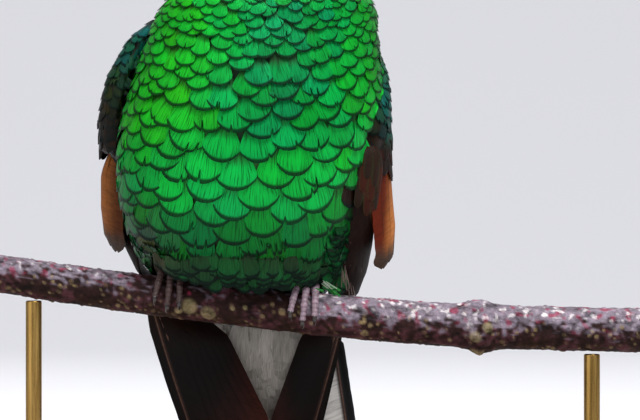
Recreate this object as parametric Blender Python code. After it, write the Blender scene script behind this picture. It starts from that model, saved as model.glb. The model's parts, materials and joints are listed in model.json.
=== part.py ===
"""A stripe-tailed hummingbird, perched upright on a cut twig that a plain display stand holds.

Sizes are in millimetres and are turned into metres where a mesh is made. The perch frame has its zero on the
twig's axis under the bird, X along the twig, -Y in front of the bird and +Z up. The bird's solids reach out to
the tips of its feathers. Each is parted from its neighbour by a thin gap.
"""

import math

import bmesh
import bpy
from mathutils import Matrix, Vector

MM = 0.001
GAP = 0.3

# The stand: a flat base, and two rods up to the twig.
BASE_LENGTH = 86.0
BASE_DEPTH = 46.0
BASE_THICKNESS = 5.0
BASE_CORNER = 12.0
BASE_EDGE = 0.8
ROD_RADIUS = 0.9
ROD_SPACING = 62.0
PERCH_HEIGHT = 38.0
BIRD_OFFSET = -7.0

# The twig: height of its axis along X, and its radius, both as (x, value).
PERCH_ENDS = (-31.0, 47.0)
PERCH_LINE = ((-31.0, 4.1), (-12.7, 1.45), (0.0, 0.0), (5.6, -0.65), (20.0, -1.9), (47.0, -2.75))
PERCH_RADIUS = ((-31.0, 2.05), (0.0, 2.3), (20.0, 2.4), (47.0, 2.45))
PERCH_STEP = 3.0
KNOT_X = 25.6
KNOT_SWELL = 0.45
KNOT_WIDTH = 1.9

# The body, in level sections: height, centre x and y, half width, half depth.
BODY_ROWS = (
    (-4.0, 1.0, 11.2, 2.4, 1.4),
    (-1.0, 0.3, 9.4, 5.6, 3.6),
    (3.0, -0.4, 4.6, 10.9, 8.9),
    (7.5, -1.0, 2.4, 12.8, 11.2),
    (14.0, -0.9, 1.0, 14.4, 12.5),
    (20.0, 0.0, -0.2, 14.9, 12.2),
    (26.0, 1.0, -1.3, 14.1, 11.0),
    (31.0, 1.6, -2.1, 12.9, 9.8),
    (34.6, 2.5, -2.6, 11.9, 9.1),
    (37.6, 4.0, -2.9, 8.8, 7.7),
)
BODY_SIDES = 26
BODY_STEP = 2.0
NECK_CUT = (Vector((1.5, -1.8, 29.0)), Vector((0.12, 0.28, 1.0)).normalized())
HEAD_CUT = (Vector((4.3, -2.8, 36.6)), Vector((0.16, 0.1, 1.0)).normalized())
BELLY_GROOVE = 4.3

# The undertail coverts, in the same kind of sections.
UNDERTAIL_ROWS = (
    (-13.6, 2.0, 12.2, 0.5, 0.35),
    (-12.0, 2.0, 11.6, 1.6, 0.7),
    (-8.0, 1.9, 10.0, 3.6, 1.2),
    (-4.0, 1.6, 8.6, 4.8, 1.7),
    (0.0, 1.0, 8.4, 4.6, 1.6),
)

# The head, in sections along the bill's line: distance forward, half width, height above, depth below.
HEAD_CENTRE = Vector((5.2, -3.2, 41.0))
HEAD_TURN = 56.0
HEAD_PITCH = 6.0
HEAD_ROWS = (
    (-9.3, 2.0, 1.2, 2.6),
    (-8.0, 4.6, 3.6, 5.4),
    (-5.0, 7.2, 6.4, 7.6),
    (-1.0, 8.2, 7.7, 8.2),
    (3.0, 7.3, 6.9, 7.0),
    (5.6, 5.4, 4.9, 5.0),
    (7.4, 3.3, 2.7, 3.2),
    (8.3, 1.9, 1.4, 2.0),
)
HEAD_SIDES = 24
CHEEK_SWELL = 0.16
EYE_PLACE = (3.0, 5.75, 0.9)
EYE_RADIUS = 1.8

# The bill: distance forward, half width, half height.
BILL_ROWS = ((8.6, 1.15, 0.95), (10.5, 0.92, 0.78), (15.0, 0.72, 0.62), (21.0, 0.58, 0.52), (26.5, 0.5, 0.45),
             (28.2, 0.36, 0.34))
BILL_DROP = -0.5
BILL_SAG = 0.0012
BILL_GAP = 0.2

# Feathered plates in level sections: height, then the front edge, the outer bulge and the rear edge as x, y.
PLATES = {
    "wing_right_coverts": (2.4, (
        (17.3, -15.3, 1.5, -17.2, 5.4, -10.8, 11.0),
        (21.0, -15.4, 0.3, -17.2, 4.6, -10.4, 10.0),
        (25.5, -14.6, -1.0, -16.1, 3.4, -8.6, 8.4),
        (29.4, -12.8, -1.8, -14.0, 2.0, -7.2, 7.0),
        (32.2, -10.2, -1.6, -10.9, 1.2, -6.2, 6.0),
    )),
    "wing_right_secondaries": (0.8, (
        (5.6, -14.7, 7.9, -15.1, 8.5, -14.8, 9.1),
        (6.4, -14.6, 6.6, -15.6, 8.2, -14.2, 10.0),
        (8.0, -15.2, 5.6, -16.4, 8.0, -13.2, 11.2),
        (11.0, -15.9, 5.2, -16.8, 7.6, -12.4, 11.8),
        (17.0, -16.3, 4.7, -17.0, 6.8, -11.6, 11.4),
    )),
    "wing_right_primaries": (0.7, (
        (-27.8, -2.4, 11.2, -2.0, 11.0, -1.6, 11.4),
        (-26.0, -3.8, 10.6, -1.8, 10.3, -0.2, 11.0),
        (-20.0, -6.1, 8.8, -2.8, 8.4, 0.4, 9.8),
        (-12.7, -8.2, 6.6, -3.2, 6.2, 1.7, 7.4),
        (-3.3, -10.8, 4.4, -6.8, 4.6, -2.8, 6.0),
        (1.5, -11.9, 3.9, -10.6, 5.6, -8.6, 8.2),
        (4.0, -12.8, 3.5, -12.6, 5.8, -11.9, 8.8),
        (7.0, -14.0, 3.3, -14.3, 5.2, -13.9, 7.6),
        (12.0, -14.9, 2.6, -15.3, 3.6, -15.4, 4.7),
        (17.0, -15.3, 1.7, -15.8, 2.7, -16.0, 3.8),
    )),
    "wing_left_coverts": (2.4, (
        (17.3, 12.6, -4.9, 16.3, 1.5, 10.4, 9.8),
        (21.0, 13.4, -5.2, 16.3, 1.0, 10.9, 9.0),
        (25.5, 14.9, -1.6, 15.8, 2.0, 11.0, 8.2),
        (29.4, 14.2, 0.6, 14.3, 3.2, 9.9, 7.2),
        (32.2, 12.7, 1.4, 12.7, 3.4, 9.2, 6.4),
    )),
    "wing_left_secondaries": (0.8, (
        (3.8, 14.4, 0.8, 14.9, 1.4, 14.6, 2.1),
        (5.5, 13.7, -1.2, 16.0, 2.0, 13.8, 5.4),
        (9.0, 13.6, -2.3, 16.4, 2.4, 12.8, 8.0),
        (13.0, 14.0, -2.6, 16.2, 2.2, 12.0, 9.0),
        (17.0, 14.6, -2.4, 16.2, 2.0, 11.2, 9.4),
    )),
    "wing_left_primaries": (0.7, (
        (-27.8, 3.6, 12.4, 3.2, 12.2, 2.8, 12.6),
        (-26.0, 4.9, 11.8, 3.4, 11.4, 2.0, 12.2),
        (-20.0, 6.4, 9.6, 4.0, 9.6, 1.6, 11.0),
        (-12.7, 7.9, 7.4, 5.2, 7.2, 2.6, 8.8),
        (-3.3, 10.1, 4.4, 8.3, 4.6, 6.0, 6.6),
        (1.5, 11.4, 3.5, 10.9, 5.0, 9.6, 7.2),
        (4.0, 11.5, 2.0, 12.0, 4.2, 11.6, 7.0),
        (7.0, 12.0, -1.8, 12.6, -0.4, 12.6, 1.4),
        (12.0, 12.5, -4.4, 12.9, -3.8, 13.1, -3.2),
        (17.0, 12.8, -4.8, 13.4, -4.2, 13.9, -3.4),
    )),
    "tail": (0.8, (
        (-26.4, -3.4, 16.6, 3.5, 17.0, 10.4, 16.6),
        (-25.2, -5.6, 16.2, 3.4, 16.8, 12.5, 16.2),
        (-13.0, -6.6, 13.7, 2.6, 14.3, 12.3, 13.7),
        (-4.0, -7.2, 12.0, 1.8, 12.8, 11.0, 12.0),
        (0.0, -4.6, 11.2, 0.8, 11.8, 6.4, 11.2),
    )),
}
PLATE_EDGE = 0.55
PLATE_STEP = 3.0
PLATE_SPANS = 8

# The feet: place along the twig, and each toe's offset at its root and tip, first and last angle, and girth.
FEET = {"leg_right": -8.4, "leg_left": 6.4}
TOES = ((-0.75, -1.5, 0.0, 100.0), (0.0, 0.0, 0.0, 112.0), (0.75, 1.5, 0.0, 100.0), (0.0, 0.2, 0.0, -95.0))
TOE_RADIUS = 0.42
CLAW_ANGLE = 26.0
CLAW_TIP = 0.25
PALM_RADIUS = 0.7
TARSUS_RADIUS = 0.5
TARSUS_TOP = Vector((0.0, 2.9, 6.0))

COLOURS = {
    "head": ((0.02, 0.28, 0.07), 0.35, 0.5),
    "neck": ((0.02, 0.36, 0.10), 0.35, 0.5),
    "trunk": ((0.01, 0.42, 0.08), 0.35, 0.5),
    "undertail_coverts": ((0.55, 0.55, 0.50), 0.8, 0.0),
    "tail": ((0.05, 0.045, 0.04), 0.6, 0.0),
    "bill": ((0.012, 0.012, 0.014), 0.3, 0.0),
    "eye": ((0.01, 0.008, 0.007), 0.08, 0.0),
    "coverts": ((0.03, 0.10, 0.06), 0.5, 0.2),
    "secondaries": ((0.42, 0.15, 0.04), 0.6, 0.0),
    "primaries": ((0.035, 0.022, 0.016), 0.6, 0.0),
    "leg": ((0.32, 0.24, 0.24), 0.6, 0.0),
    "perch": ((0.10, 0.06, 0.06), 0.8, 0.0),
    "stand_base": ((0.10, 0.05, 0.025), 0.45, 0.0),
    "stand_rod": ((0.55, 0.42, 0.20), 0.3, 1.0),
}


def smooth_row(rows, level):
    """The values at a level, on a smooth curve through rows that are sorted by their first value."""
    last = len(rows) - 1
    level = min(max(level, rows[0][0]), rows[last][0])
    i = max(k for k in range(last) if rows[k][0] <= level)
    before, low, high, after = rows[max(i - 1, 0)], rows[i], rows[i + 1], rows[min(i + 2, last)]
    span = high[0] - low[0]
    t = (level - low[0]) / span
    values = []
    for a, b, c, d in zip(before[1:], low[1:], high[1:], after[1:]):
        slope_low = (c - a) / (high[0] - before[0]) * span
        slope_high = (d - b) / (after[0] - low[0]) * span
        values.append((2 * t**3 - 3 * t**2 + 1) * b + (t**3 - 2 * t**2 + t) * slope_low
                      + (3 * t**2 - 2 * t**3) * c + (t**3 - t**2) * slope_high)
    return values


def levels_between(rows, step):
    """Evenly spaced levels from the first row to the last, with each row's own level kept."""
    levels = [rows[0][0]]
    for low, high in zip(rows, rows[1:]):
        count = max(1, round((high[0] - low[0]) / step))
        levels += [low[0] + (high[0] - low[0]) * (k + 1) / count for k in range(count)]
    return levels


def perch_height(x):
    """Height of the twig's axis, in the perch frame."""
    return smooth_row(PERCH_LINE, x)[0]


def perch_radius(x):
    """Radius of the twig, with the swelling at its knot."""
    return smooth_row(PERCH_RADIUS, x)[0] + KNOT_SWELL * math.exp(-(((x - KNOT_X) / KNOT_WIDTH) ** 2))


def placed(point):
    """A point of the perch frame, in metres from the middle of the base's underside."""
    return (Vector(point) + Vector((BIRD_OFFSET, 0.0, PERCH_HEIGHT))) * MM


def material(kind):
    colour, roughness, metallic = COLOURS[kind]
    found = bpy.data.materials.get(kind) or bpy.data.materials.new(kind)
    found.use_nodes = True
    shader = found.node_tree.nodes["Principled BSDF"]
    shader.inputs["Base Color"].default_value = (*colour, 1.0)
    shader.inputs["Roughness"].default_value = roughness
    shader.inputs["Metallic"].default_value = metallic
    found.diffuse_color = (*colour, 1.0)
    return found


def add_object(name, mesh, kind, collection):
    obj = bpy.data.objects.new(name, mesh)
    collection.objects.link(obj)
    if kind:
        mesh.materials.clear()
        mesh.materials.append(material(kind))
        mesh.shade_smooth()
        mesh.set_sharp_from_angle(angle=math.radians(50))
    else:
        obj.hide_render = True
        obj.display_type = "WIRE"
    return obj


def loft_mesh(name, rings):
    """A closed mesh through rings of the same number of points, with a flat face on each end."""
    shape = bmesh.new()
    loops = [[shape.verts.new(point) for point in ring] for ring in rings]
    for low, high in zip(loops, loops[1:]):
        for k in range(len(low)):
            n = (k + 1) % len(low)
            shape.faces.new((low[k], low[n], high[n], high[k]))
    shape.faces.new(reversed(loops[0]))
    shape.faces.new(loops[-1])
    bmesh.ops.recalc_face_normals(shape, faces=shape.faces)
    mesh = bpy.data.meshes.new(name)
    shape.to_mesh(mesh)
    shape.free()
    return mesh


def oval_rings(rows, extra=0.0):
    """Level oval rings for a loft of the body's kind, grown outwards by an extra amount."""
    levels = levels_between(rows, BODY_STEP)
    rings = []
    for level in levels:
        x, y, half_width, half_depth = smooth_row(rows, level)
        height = level + extra * (1 if level == levels[-1] else -1 if level == levels[0] else 0)
        turns = [math.tau * k / BODY_SIDES for k in range(BODY_SIDES)]
        rings.append([placed((x + (half_width + extra) * math.cos(a), y + (half_depth + extra) * math.sin(a), height))
                      for a in turns])
    return rings


def head_frame():
    """The head's own axes: forward along the bill, left, and up."""
    forward = Vector((math.sin(math.radians(HEAD_TURN)), -math.cos(math.radians(HEAD_TURN)), 0.0))
    up = Vector((0.0, 0.0, 1.0))
    left = up.cross(forward)
    pitch = Matrix.Rotation(-math.radians(HEAD_PITCH), 3, left)
    return pitch @ forward, left, pitch @ up


def head_point(forward, left, up):
    axes = head_frame()
    return placed(HEAD_CENTRE + axes[0] * forward + axes[1] * left + axes[2] * up)


def head_rings():
    """Rings across the bill's line, fuller in the cheeks than at the crown."""
    rings = []
    for level in levels_between(HEAD_ROWS, BODY_STEP):
        half_width, above, below = smooth_row(HEAD_ROWS, level)
        ring = []
        for k in range(HEAD_SIDES):
            a = math.tau * k / HEAD_SIDES
            rise = math.sin(a) * (above if math.sin(a) > 0 else below)
            cheek = 1.0 + CHEEK_SWELL * max(0.0, -math.sin(a))
            ring.append(head_point(level, half_width * math.cos(a) * cheek, rise))
        rings.append(ring)
    return rings


def bill_rings():
    rings = []
    for level, half_width, half_height in BILL_ROWS:
        drop = BILL_DROP - BILL_SAG * (level - BILL_ROWS[0][0]) ** 2
        rings.append([head_point(level, half_width * math.cos(math.tau * k / 12),
                                 drop + half_height * math.sin(math.tau * k / 12)) for k in range(12)])
    return rings


def plate_rings(rows, thickness, turn):
    """Level crescents: an outer curve through the front edge, the bulge and the rear edge, and one to its inside.

    The inside is to the right of the way from front to rear for a turn of 1, and to the left for -1.
    """
    rings = []
    for level in levels_between(rows, PLATE_STEP):
        fx, fy, mx, my, rx, ry = smooth_row(rows, level)
        front, bulge, rear = Vector((fx, fy)), Vector((mx, my)), Vector((rx, ry))
        pull = bulge * 2 - (front + rear) / 2
        width = (rear - front).length
        outer, inner = [], []
        for k in range(PLATE_SPANS + 1):
            t = k / PLATE_SPANS
            point = front * (1 - t) ** 2 + pull * 2 * t * (1 - t) + rear * t**2
            along = (pull - front) * (1 - t) + (rear - pull) * t
            across = Vector((along.y, -along.x)).normalized() * turn
            depth = PLATE_EDGE + (min(thickness, width) - PLATE_EDGE) * math.sin(math.pi * t) ** 0.6
            outer.append(placed((*point, level)))
            inner.append(placed((*(point + across * max(depth, PLATE_EDGE)), level)))
        rings.append(outer + inner[::-1])
    return rings


def cut_plane(mesh, cut, keep_above, shift):
    """Keeps the part of a closed mesh on one side of a plane that is shifted along its normal, and closes it."""
    point, normal = cut
    shape = bmesh.new()
    shape.from_mesh(mesh)
    result = bmesh.ops.bisect_plane(shape, geom=shape.verts[:] + shape.edges[:] + shape.faces[:],
                                    plane_co=placed(point + normal * shift), plane_no=normal,
                                    clear_inner=keep_above, clear_outer=not keep_above, dist=1e-7)
    edges = [e for e in result["geom_cut"] if isinstance(e, bmesh.types.BMEdge)]
    bmesh.ops.contextual_create(shape, geom=edges)
    bmesh.ops.recalc_face_normals(shape, faces=shape.faces)
    shape.to_mesh(mesh)
    shape.free()


def boolean(obj, tool, operation="DIFFERENCE"):
    """Adds an exact boolean to an object."""
    step = obj.modifiers.new(tool.name, "BOOLEAN")
    step.operation = operation
    step.object = tool
    step.solver = "EXACT"


def tube(name, points, radii, collection, kind=None):
    """A closed round tube through points, as a mesh in metres, with a radius at each point."""
    curve = bpy.data.curves.new(name, "CURVE")
    curve.dimensions = "3D"
    curve.bevel_depth = MM
    curve.bevel_resolution = 2
    curve.use_fill_caps = True
    line = curve.splines.new("POLY")
    line.points.add(len(points) - 1)
    for spot, point, radius in zip(line.points, points, radii):
        spot.co = (*placed(point), 1.0)
        spot.radius = radius
    guide = bpy.data.objects.new(name + "_line", curve)
    collection.objects.link(guide)
    graph = bpy.context.evaluated_depsgraph_get()
    mesh = bpy.data.meshes.new_from_object(guide.evaluated_get(graph))
    bpy.data.objects.remove(guide)
    bpy.data.curves.remove(curve)
    shape = bmesh.new()
    shape.from_mesh(mesh)
    bmesh.ops.remove_doubles(shape, verts=shape.verts, dist=1e-6)
    bmesh.ops.recalc_face_normals(shape, faces=shape.faces)
    shape.to_mesh(mesh)
    shape.free()
    return add_object(name, mesh, kind, collection)


def ball(name, centre, radius, collection, kind=None, segments=16, rings=10):
    shape = bmesh.new()
    bmesh.ops.create_uvsphere(shape, u_segments=segments, v_segments=rings, radius=radius * MM)
    bmesh.ops.translate(shape, verts=shape.verts, vec=centre)
    mesh = bpy.data.meshes.new(name)
    shape.to_mesh(mesh)
    shape.free()
    return add_object(name, mesh, kind, collection)


def perch_stations(start, end, step):
    count = round((end - start) / step)
    return [start + (end - start) * k / count for k in range(count + 1)]


def make_perch(model):
    stations = perch_stations(*PERCH_ENDS, PERCH_STEP)
    stations = sorted(stations + [KNOT_X - KNOT_WIDTH, KNOT_X, KNOT_X + KNOT_WIDTH])
    tube("perch", [(x, 0.0, perch_height(x)) for x in stations], [perch_radius(x) for x in stations], model, "perch")


def make_body(model, cutters):
    """Trunk, neck and head, parted by thin slanting gaps; returns the grown body that its neighbours are cut by."""
    trunk = add_object("trunk", loft_mesh("trunk", oval_rings(BODY_ROWS)), "trunk", model)
    neck = add_object("neck", loft_mesh("neck", oval_rings(BODY_ROWS)), "neck", model)
    head = add_object("head", loft_mesh("head", head_rings()), "head", model)
    cut_plane(trunk.data, NECK_CUT, False, -GAP / 2)
    cut_plane(neck.data, NECK_CUT, True, GAP / 2)
    cut_plane(neck.data, HEAD_CUT, False, -GAP / 2)
    cut_plane(head.data, HEAD_CUT, True, GAP / 2)
    groove_x = perch_stations(-16.0, 16.0, 4.0)
    groove = tube("belly_groove", [(x, 0.0, perch_height(x)) for x in groove_x], [BELLY_GROOVE] * len(groove_x),
                  cutters)
    boolean(trunk, groove)
    for side, sign in (("left", 1), ("right", -1)):
        forward, out, up = EYE_PLACE
        centre = head_point(forward, sign * out, up)
        ball("eye_" + side, centre, EYE_RADIUS, model, "eye", 20, 12)
        boolean(head, ball("eye_socket_" + side, centre, EYE_RADIUS + GAP, cutters, None, 20, 12))
    grown = add_object("grown_body", loft_mesh("grown_body", oval_rings(BODY_ROWS, GAP)), None, cutters)
    return trunk, grown


def make_bill(model):
    """The bill's two halves, each cut from the whole at the gape."""
    axes = head_frame()
    for name, above in (("bill_upper", True), ("bill_lower", False)):
        half = add_object(name, loft_mesh(name, bill_rings()), "bill", model)
        gape = HEAD_CENTRE + axes[2] * BILL_DROP + axes[0] * BILL_ROWS[0][0]
        slope = (axes[2] + axes[0] * BILL_SAG * (BILL_ROWS[-1][0] - BILL_ROWS[0][0])).normalized()
        cut_plane(half.data, (gape, slope), above, BILL_GAP / 2 if above else -BILL_GAP / 2)


def make_plates(model, grown):
    for name, (thickness, rows) in PLATES.items():
        kind = name.split("_")[-1]
        turn = -1 if name.startswith("wing_left") else 1
        plate = add_object(name, loft_mesh(name, plate_rings(rows, thickness, turn)), kind, model)
        boolean(plate, grown)
    undertail = add_object("undertail_coverts", loft_mesh("undertail_coverts", oval_rings(UNDERTAIL_ROWS)),
                           "undertail_coverts", model)
    boolean(undertail, grown)


def around_perch(x, degrees, distance):
    """A point at an angle from the twig's top towards the front, at a distance from its axis."""
    a = math.radians(degrees)
    return (x, -distance * math.sin(a), perch_height(x) + distance * math.cos(a))


def make_legs(model, cutters, trunk):
    """Each leg is one piece: a short tarsus, a palm on the twig, three toes in front and one behind, and claws."""
    for name, x in FEET.items():
        reach = perch_radius(x) + GAP + TOE_RADIUS
        palm = around_perch(x, 0.0, perch_radius(x) + GAP + PALM_RADIUS)
        leg = ball(name, placed(palm), PALM_RADIUS, model, "leg", 12, 8)
        top = Vector((x, 0.0, perch_height(x))) + TARSUS_TOP
        boolean(leg, tube(name + "_tarsus", [palm, top], [TARSUS_RADIUS] * 2, cutters), "UNION")
        boolean(trunk, tube(name + "_hollow", [palm, top + Vector((0.0, 0.2, 0.5))], [TARSUS_RADIUS + GAP] * 2, cutters))
        for number, (root, tip, first, last) in enumerate(TOES):
            end = last + math.copysign(CLAW_ANGLE, last)
            points, radii = [], []
            for k in range(7):
                t = k / 6
                points.append(around_perch(x + root + (tip - root) * t, first + (end - first) * t, reach))
                radii.append(TOE_RADIUS if t < 0.8 else TOE_RADIUS + (CLAW_TIP - TOE_RADIUS) * (t - 0.8) / 0.2)
            boolean(leg, tube(f"{name}_toe_{number}", points, radii, cutters), "UNION")


def make_stand(model):
    """A flat base with rounded corners, and two rods that end just under the twig."""
    bpy.ops.mesh.primitive_cube_add(size=1.0)
    base = bpy.context.object
    base.name = "stand_base"
    base.data.transform(Matrix.Diagonal((BASE_LENGTH * MM, BASE_DEPTH * MM, BASE_THICKNESS * MM, 1.0)))
    base.data.transform(Matrix.Translation((0.0, 0.0, BASE_THICKNESS * MM / 2)))
    shape = bmesh.new()
    shape.from_mesh(base.data)
    upright = [e for e in shape.edges if abs(e.verts[0].co.z - e.verts[1].co.z) > BASE_THICKNESS * MM / 2]
    bmesh.ops.bevel(shape, geom=upright, offset=BASE_CORNER * MM, segments=6, profile=0.5, affect="EDGES")
    rim = [e for e in shape.edges if all(v.co.z > BASE_THICKNESS * MM * 0.9 for v in e.verts)
           and any(abs(f.normal.z) < 0.5 for f in e.link_faces)]
    bmesh.ops.bevel(shape, geom=rim, offset=BASE_EDGE * MM, segments=2, profile=0.5, affect="EDGES")
    shape.to_mesh(base.data)
    shape.free()
    base.data.materials.append(material("stand_base"))
    for collection in list(base.users_collection):
        collection.objects.unlink(base)
    model.objects.link(base)
    for side, sign in (("right", -1), ("left", 1)):
        x = sign * ROD_SPACING / 2 - BIRD_OFFSET
        low = BASE_THICKNESS + GAP - PERCH_HEIGHT
        high = perch_height(x) - perch_radius(x) - GAP
        tube("stand_rod_" + side, [(x, 0.0, low), (x, 0.0, high)], [ROD_RADIUS] * 2, model, "stand_rod")


def main():
    for obj in list(bpy.data.objects):
        bpy.data.objects.remove(obj)
    model = bpy.data.collections.new("hummingbird")
    cutters = bpy.data.collections.new("cutters")
    for collection in (model, cutters):
        bpy.context.scene.collection.children.link(collection)
    make_perch(model)
    trunk, grown = make_body(model, cutters)
    make_bill(model)
    make_plates(model, grown)
    make_legs(model, cutters, trunk)
    make_stand(model)


main()
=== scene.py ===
# %% [markdown]
# A hummingbird in feathers, piece by piece.
#
# The imported model is a set of plain solids that already stand where everything belongs. This lesson keeps
# their sizes and gives each one its real surface: one skin under the coat, feathers as thin closed vanes,
# a horn bill, wet eyes, scaled toes, bark, wood and brass. The model's sizes are written in millimetres, and
# the studio's in metres.

# %% Load the frame
import json
import math

import bmesh
import bpy
import numpy as np
from mathutils import Matrix, Vector, noise
from mathutils.bvhtree import BVHTree
from mathutils.kdtree import KDTree

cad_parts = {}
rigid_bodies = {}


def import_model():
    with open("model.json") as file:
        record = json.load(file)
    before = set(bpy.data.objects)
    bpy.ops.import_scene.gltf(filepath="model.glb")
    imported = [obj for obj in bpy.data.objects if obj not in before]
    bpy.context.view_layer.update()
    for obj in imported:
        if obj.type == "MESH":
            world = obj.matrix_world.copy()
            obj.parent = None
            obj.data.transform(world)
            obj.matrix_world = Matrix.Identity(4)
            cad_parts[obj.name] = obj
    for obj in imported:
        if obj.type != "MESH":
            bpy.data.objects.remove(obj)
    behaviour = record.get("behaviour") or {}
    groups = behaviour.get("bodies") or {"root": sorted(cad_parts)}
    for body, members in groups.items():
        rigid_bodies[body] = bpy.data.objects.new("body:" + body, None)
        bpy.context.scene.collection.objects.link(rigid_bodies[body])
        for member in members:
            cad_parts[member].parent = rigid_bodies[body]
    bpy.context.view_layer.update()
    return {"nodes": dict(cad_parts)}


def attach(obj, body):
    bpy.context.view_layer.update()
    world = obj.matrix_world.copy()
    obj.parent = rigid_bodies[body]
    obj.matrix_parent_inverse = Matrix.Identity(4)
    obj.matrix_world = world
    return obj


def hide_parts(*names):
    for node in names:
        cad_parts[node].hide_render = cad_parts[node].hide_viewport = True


for thing in list(bpy.data.objects):
    bpy.data.objects.remove(thing)
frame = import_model()
MM = 0.001
BIRD_OFFSET = -7.0
PERCH_HEIGHT = 38.0
PERCH_ZERO = Vector((BIRD_OFFSET, 0.0, PERCH_HEIGHT)) * MM  # on the twig's axis, under the bird

# %% [markdown]
# The camera stands level with the breast and far away, as a long lens does, so that the body keeps its
# proportions. An operator acts on all that is selected, so one helper picks objects and drops the others.

# %% Camera
SCENE = bpy.context.scene
SCENE.view_settings.view_transform = "Standard"
VIEW_WIDTH = 71.1 * MM
VIEW_CENTRE = PERCH_ZERO + Vector((7.8, 0.0, 10.7)) * MM
CAMERA_DISTANCE = 0.95
SENSOR = 36.0


def pick(*objects):
    """Selects these objects and nothing else; the next operator acts on the first of them."""
    if bpy.context.mode != "OBJECT":
        bpy.ops.object.mode_set(mode="OBJECT")
    bpy.ops.object.select_all(action="DESELECT")
    for obj in objects:
        obj.select_set(True)
    if objects:
        bpy.context.view_layer.objects.active = objects[0]


def add_camera():
    lens = bpy.data.cameras.new("camera")
    lens.sensor_width = SENSOR
    lens.lens = SENSOR * CAMERA_DISTANCE / VIEW_WIDTH
    lens.clip_start = 0.01
    lens.clip_end = 50.0
    camera = bpy.data.objects.new("camera", lens)
    camera.location = VIEW_CENTRE + Vector((0.0, -CAMERA_DISTANCE, 0.0))
    camera.rotation_euler = (math.radians(90.0), 0.0, 0.0)
    SCENE.collection.objects.link(camera)
    SCENE.camera = camera


add_camera()
print("camera lens:", round(SCENE.camera.data.lens), "mm")

# %% [markdown]
# A seamless sheet of paper is the plainest background: its floor runs up behind the model in one curve,
# which leaves no line at its end. It starts as a flat grid, whose rows are laid along that curve.

# %% Sweep
SWEEP_HALF_WIDTH = 12.0
SWEEP_FRONT = -4.0
SWEEP_FLOOR = 6.0
SWEEP_CURVE = 1.6
SWEEP_WALL = 6.0
FLOOR_SHARE = 0.3
WALL_SHARE = 0.2


def mesh_arrays(obj):
    mesh = obj.data
    mesh.calc_loop_triangles()
    points = np.empty(len(mesh.vertices) * 3)
    mesh.vertices.foreach_get("co", points)
    normals = np.empty(len(mesh.vertices) * 3)
    mesh.vertices.foreach_get("normal", normals)
    triangles = np.empty(len(mesh.loop_triangles) * 3, dtype=np.int64)
    mesh.loop_triangles.foreach_get("vertices", triangles)
    return points.reshape(-1, 3), normals.reshape(-1, 3), triangles.reshape(-1, 3)


def add_sweep():
    pick()
    bpy.ops.mesh.primitive_grid_add(x_subdivisions=4, y_subdivisions=60, size=2.0)
    sweep = bpy.context.object
    sweep.name = "sweep"
    points, _, _ = mesh_arrays(sweep)
    share = (points[:, 1] + 1.0) / 2.0
    floor = np.clip(share / FLOOR_SHARE, 0.0, 1.0)
    turn = np.clip((share - FLOOR_SHARE) / (1.0 - FLOOR_SHARE - WALL_SHARE), 0.0, 1.0) * math.pi / 2.0
    wall = np.clip((share - 1.0 + WALL_SHARE) / WALL_SHARE, 0.0, 1.0)
    points[:, 0] *= SWEEP_HALF_WIDTH
    points[:, 1] = SWEEP_FRONT + SWEEP_FLOOR * floor + SWEEP_CURVE * np.sin(turn)
    points[:, 2] = SWEEP_CURVE * (1.0 - np.cos(turn)) + SWEEP_WALL * wall
    sweep.data.vertices.foreach_set("co", points.ravel())
    sweep.data.update()
    bpy.ops.object.shade_smooth()
    return sweep


SWEEP = add_sweep()
print("sweep faces:", len(SWEEP.data.polygons))

# %% [markdown]
# Feathers need soft light from above and one side, so that their rims throw small shadows. A weak lamp
# fills the other side, one lights the edges from behind, and the last brightens the paper of the wall.

# %% Lights
STUDIO_AIR = (0.82, 0.83, 0.86, 1.0)
STUDIO_STRENGTH = 0.42


def add_light(name, place, size, power, aim=VIEW_CENTRE):
    """A square soft light of this size that points at a place."""
    lamp = bpy.data.lights.new(name, "AREA")
    lamp.size = size
    lamp.energy = power
    obj = bpy.data.objects.new(name, lamp)
    obj.location = place
    obj.rotation_euler = (Vector(aim) - Vector(place)).to_track_quat("-Z", "Y").to_euler()
    SCENE.collection.objects.link(obj)


add_light("key", (0.25, -0.52, 0.90), 0.5, 13.0)
add_light("fill", (-0.7, -0.5, 0.45), 0.8, 1.6)
add_light("back", (0.2, 0.45, 0.6), 0.5, 2.0)
add_light("wall", (0.0, 0.9, 1.4), 1.6, 31.0, (0.0, 3.2, 0.3))
world = bpy.data.worlds.new("studio")
world.use_nodes = True
world.node_tree.nodes["Background"].inputs["Color"].default_value = STUDIO_AIR
world.node_tree.nodes["Background"].inputs["Strength"].default_value = STUDIO_STRENGTH
SCENE.world = world
print("lights:", sorted(lamp.name for lamp in bpy.data.lights))

# %% [markdown]
# A material is a short chain of nodes. Writing a chain by hand takes many lines, so a small helper makes a
# node, sets its values and joins its inputs in one call. Colours are given as they look on a screen.

# %% Helpers for materials


def linear(red, green, blue):
    """A colour from screen values of 0 to 255."""
    return tuple((c / 255.0) ** 2.2 for c in (red, green, blue)) + (1.0,)


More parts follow.
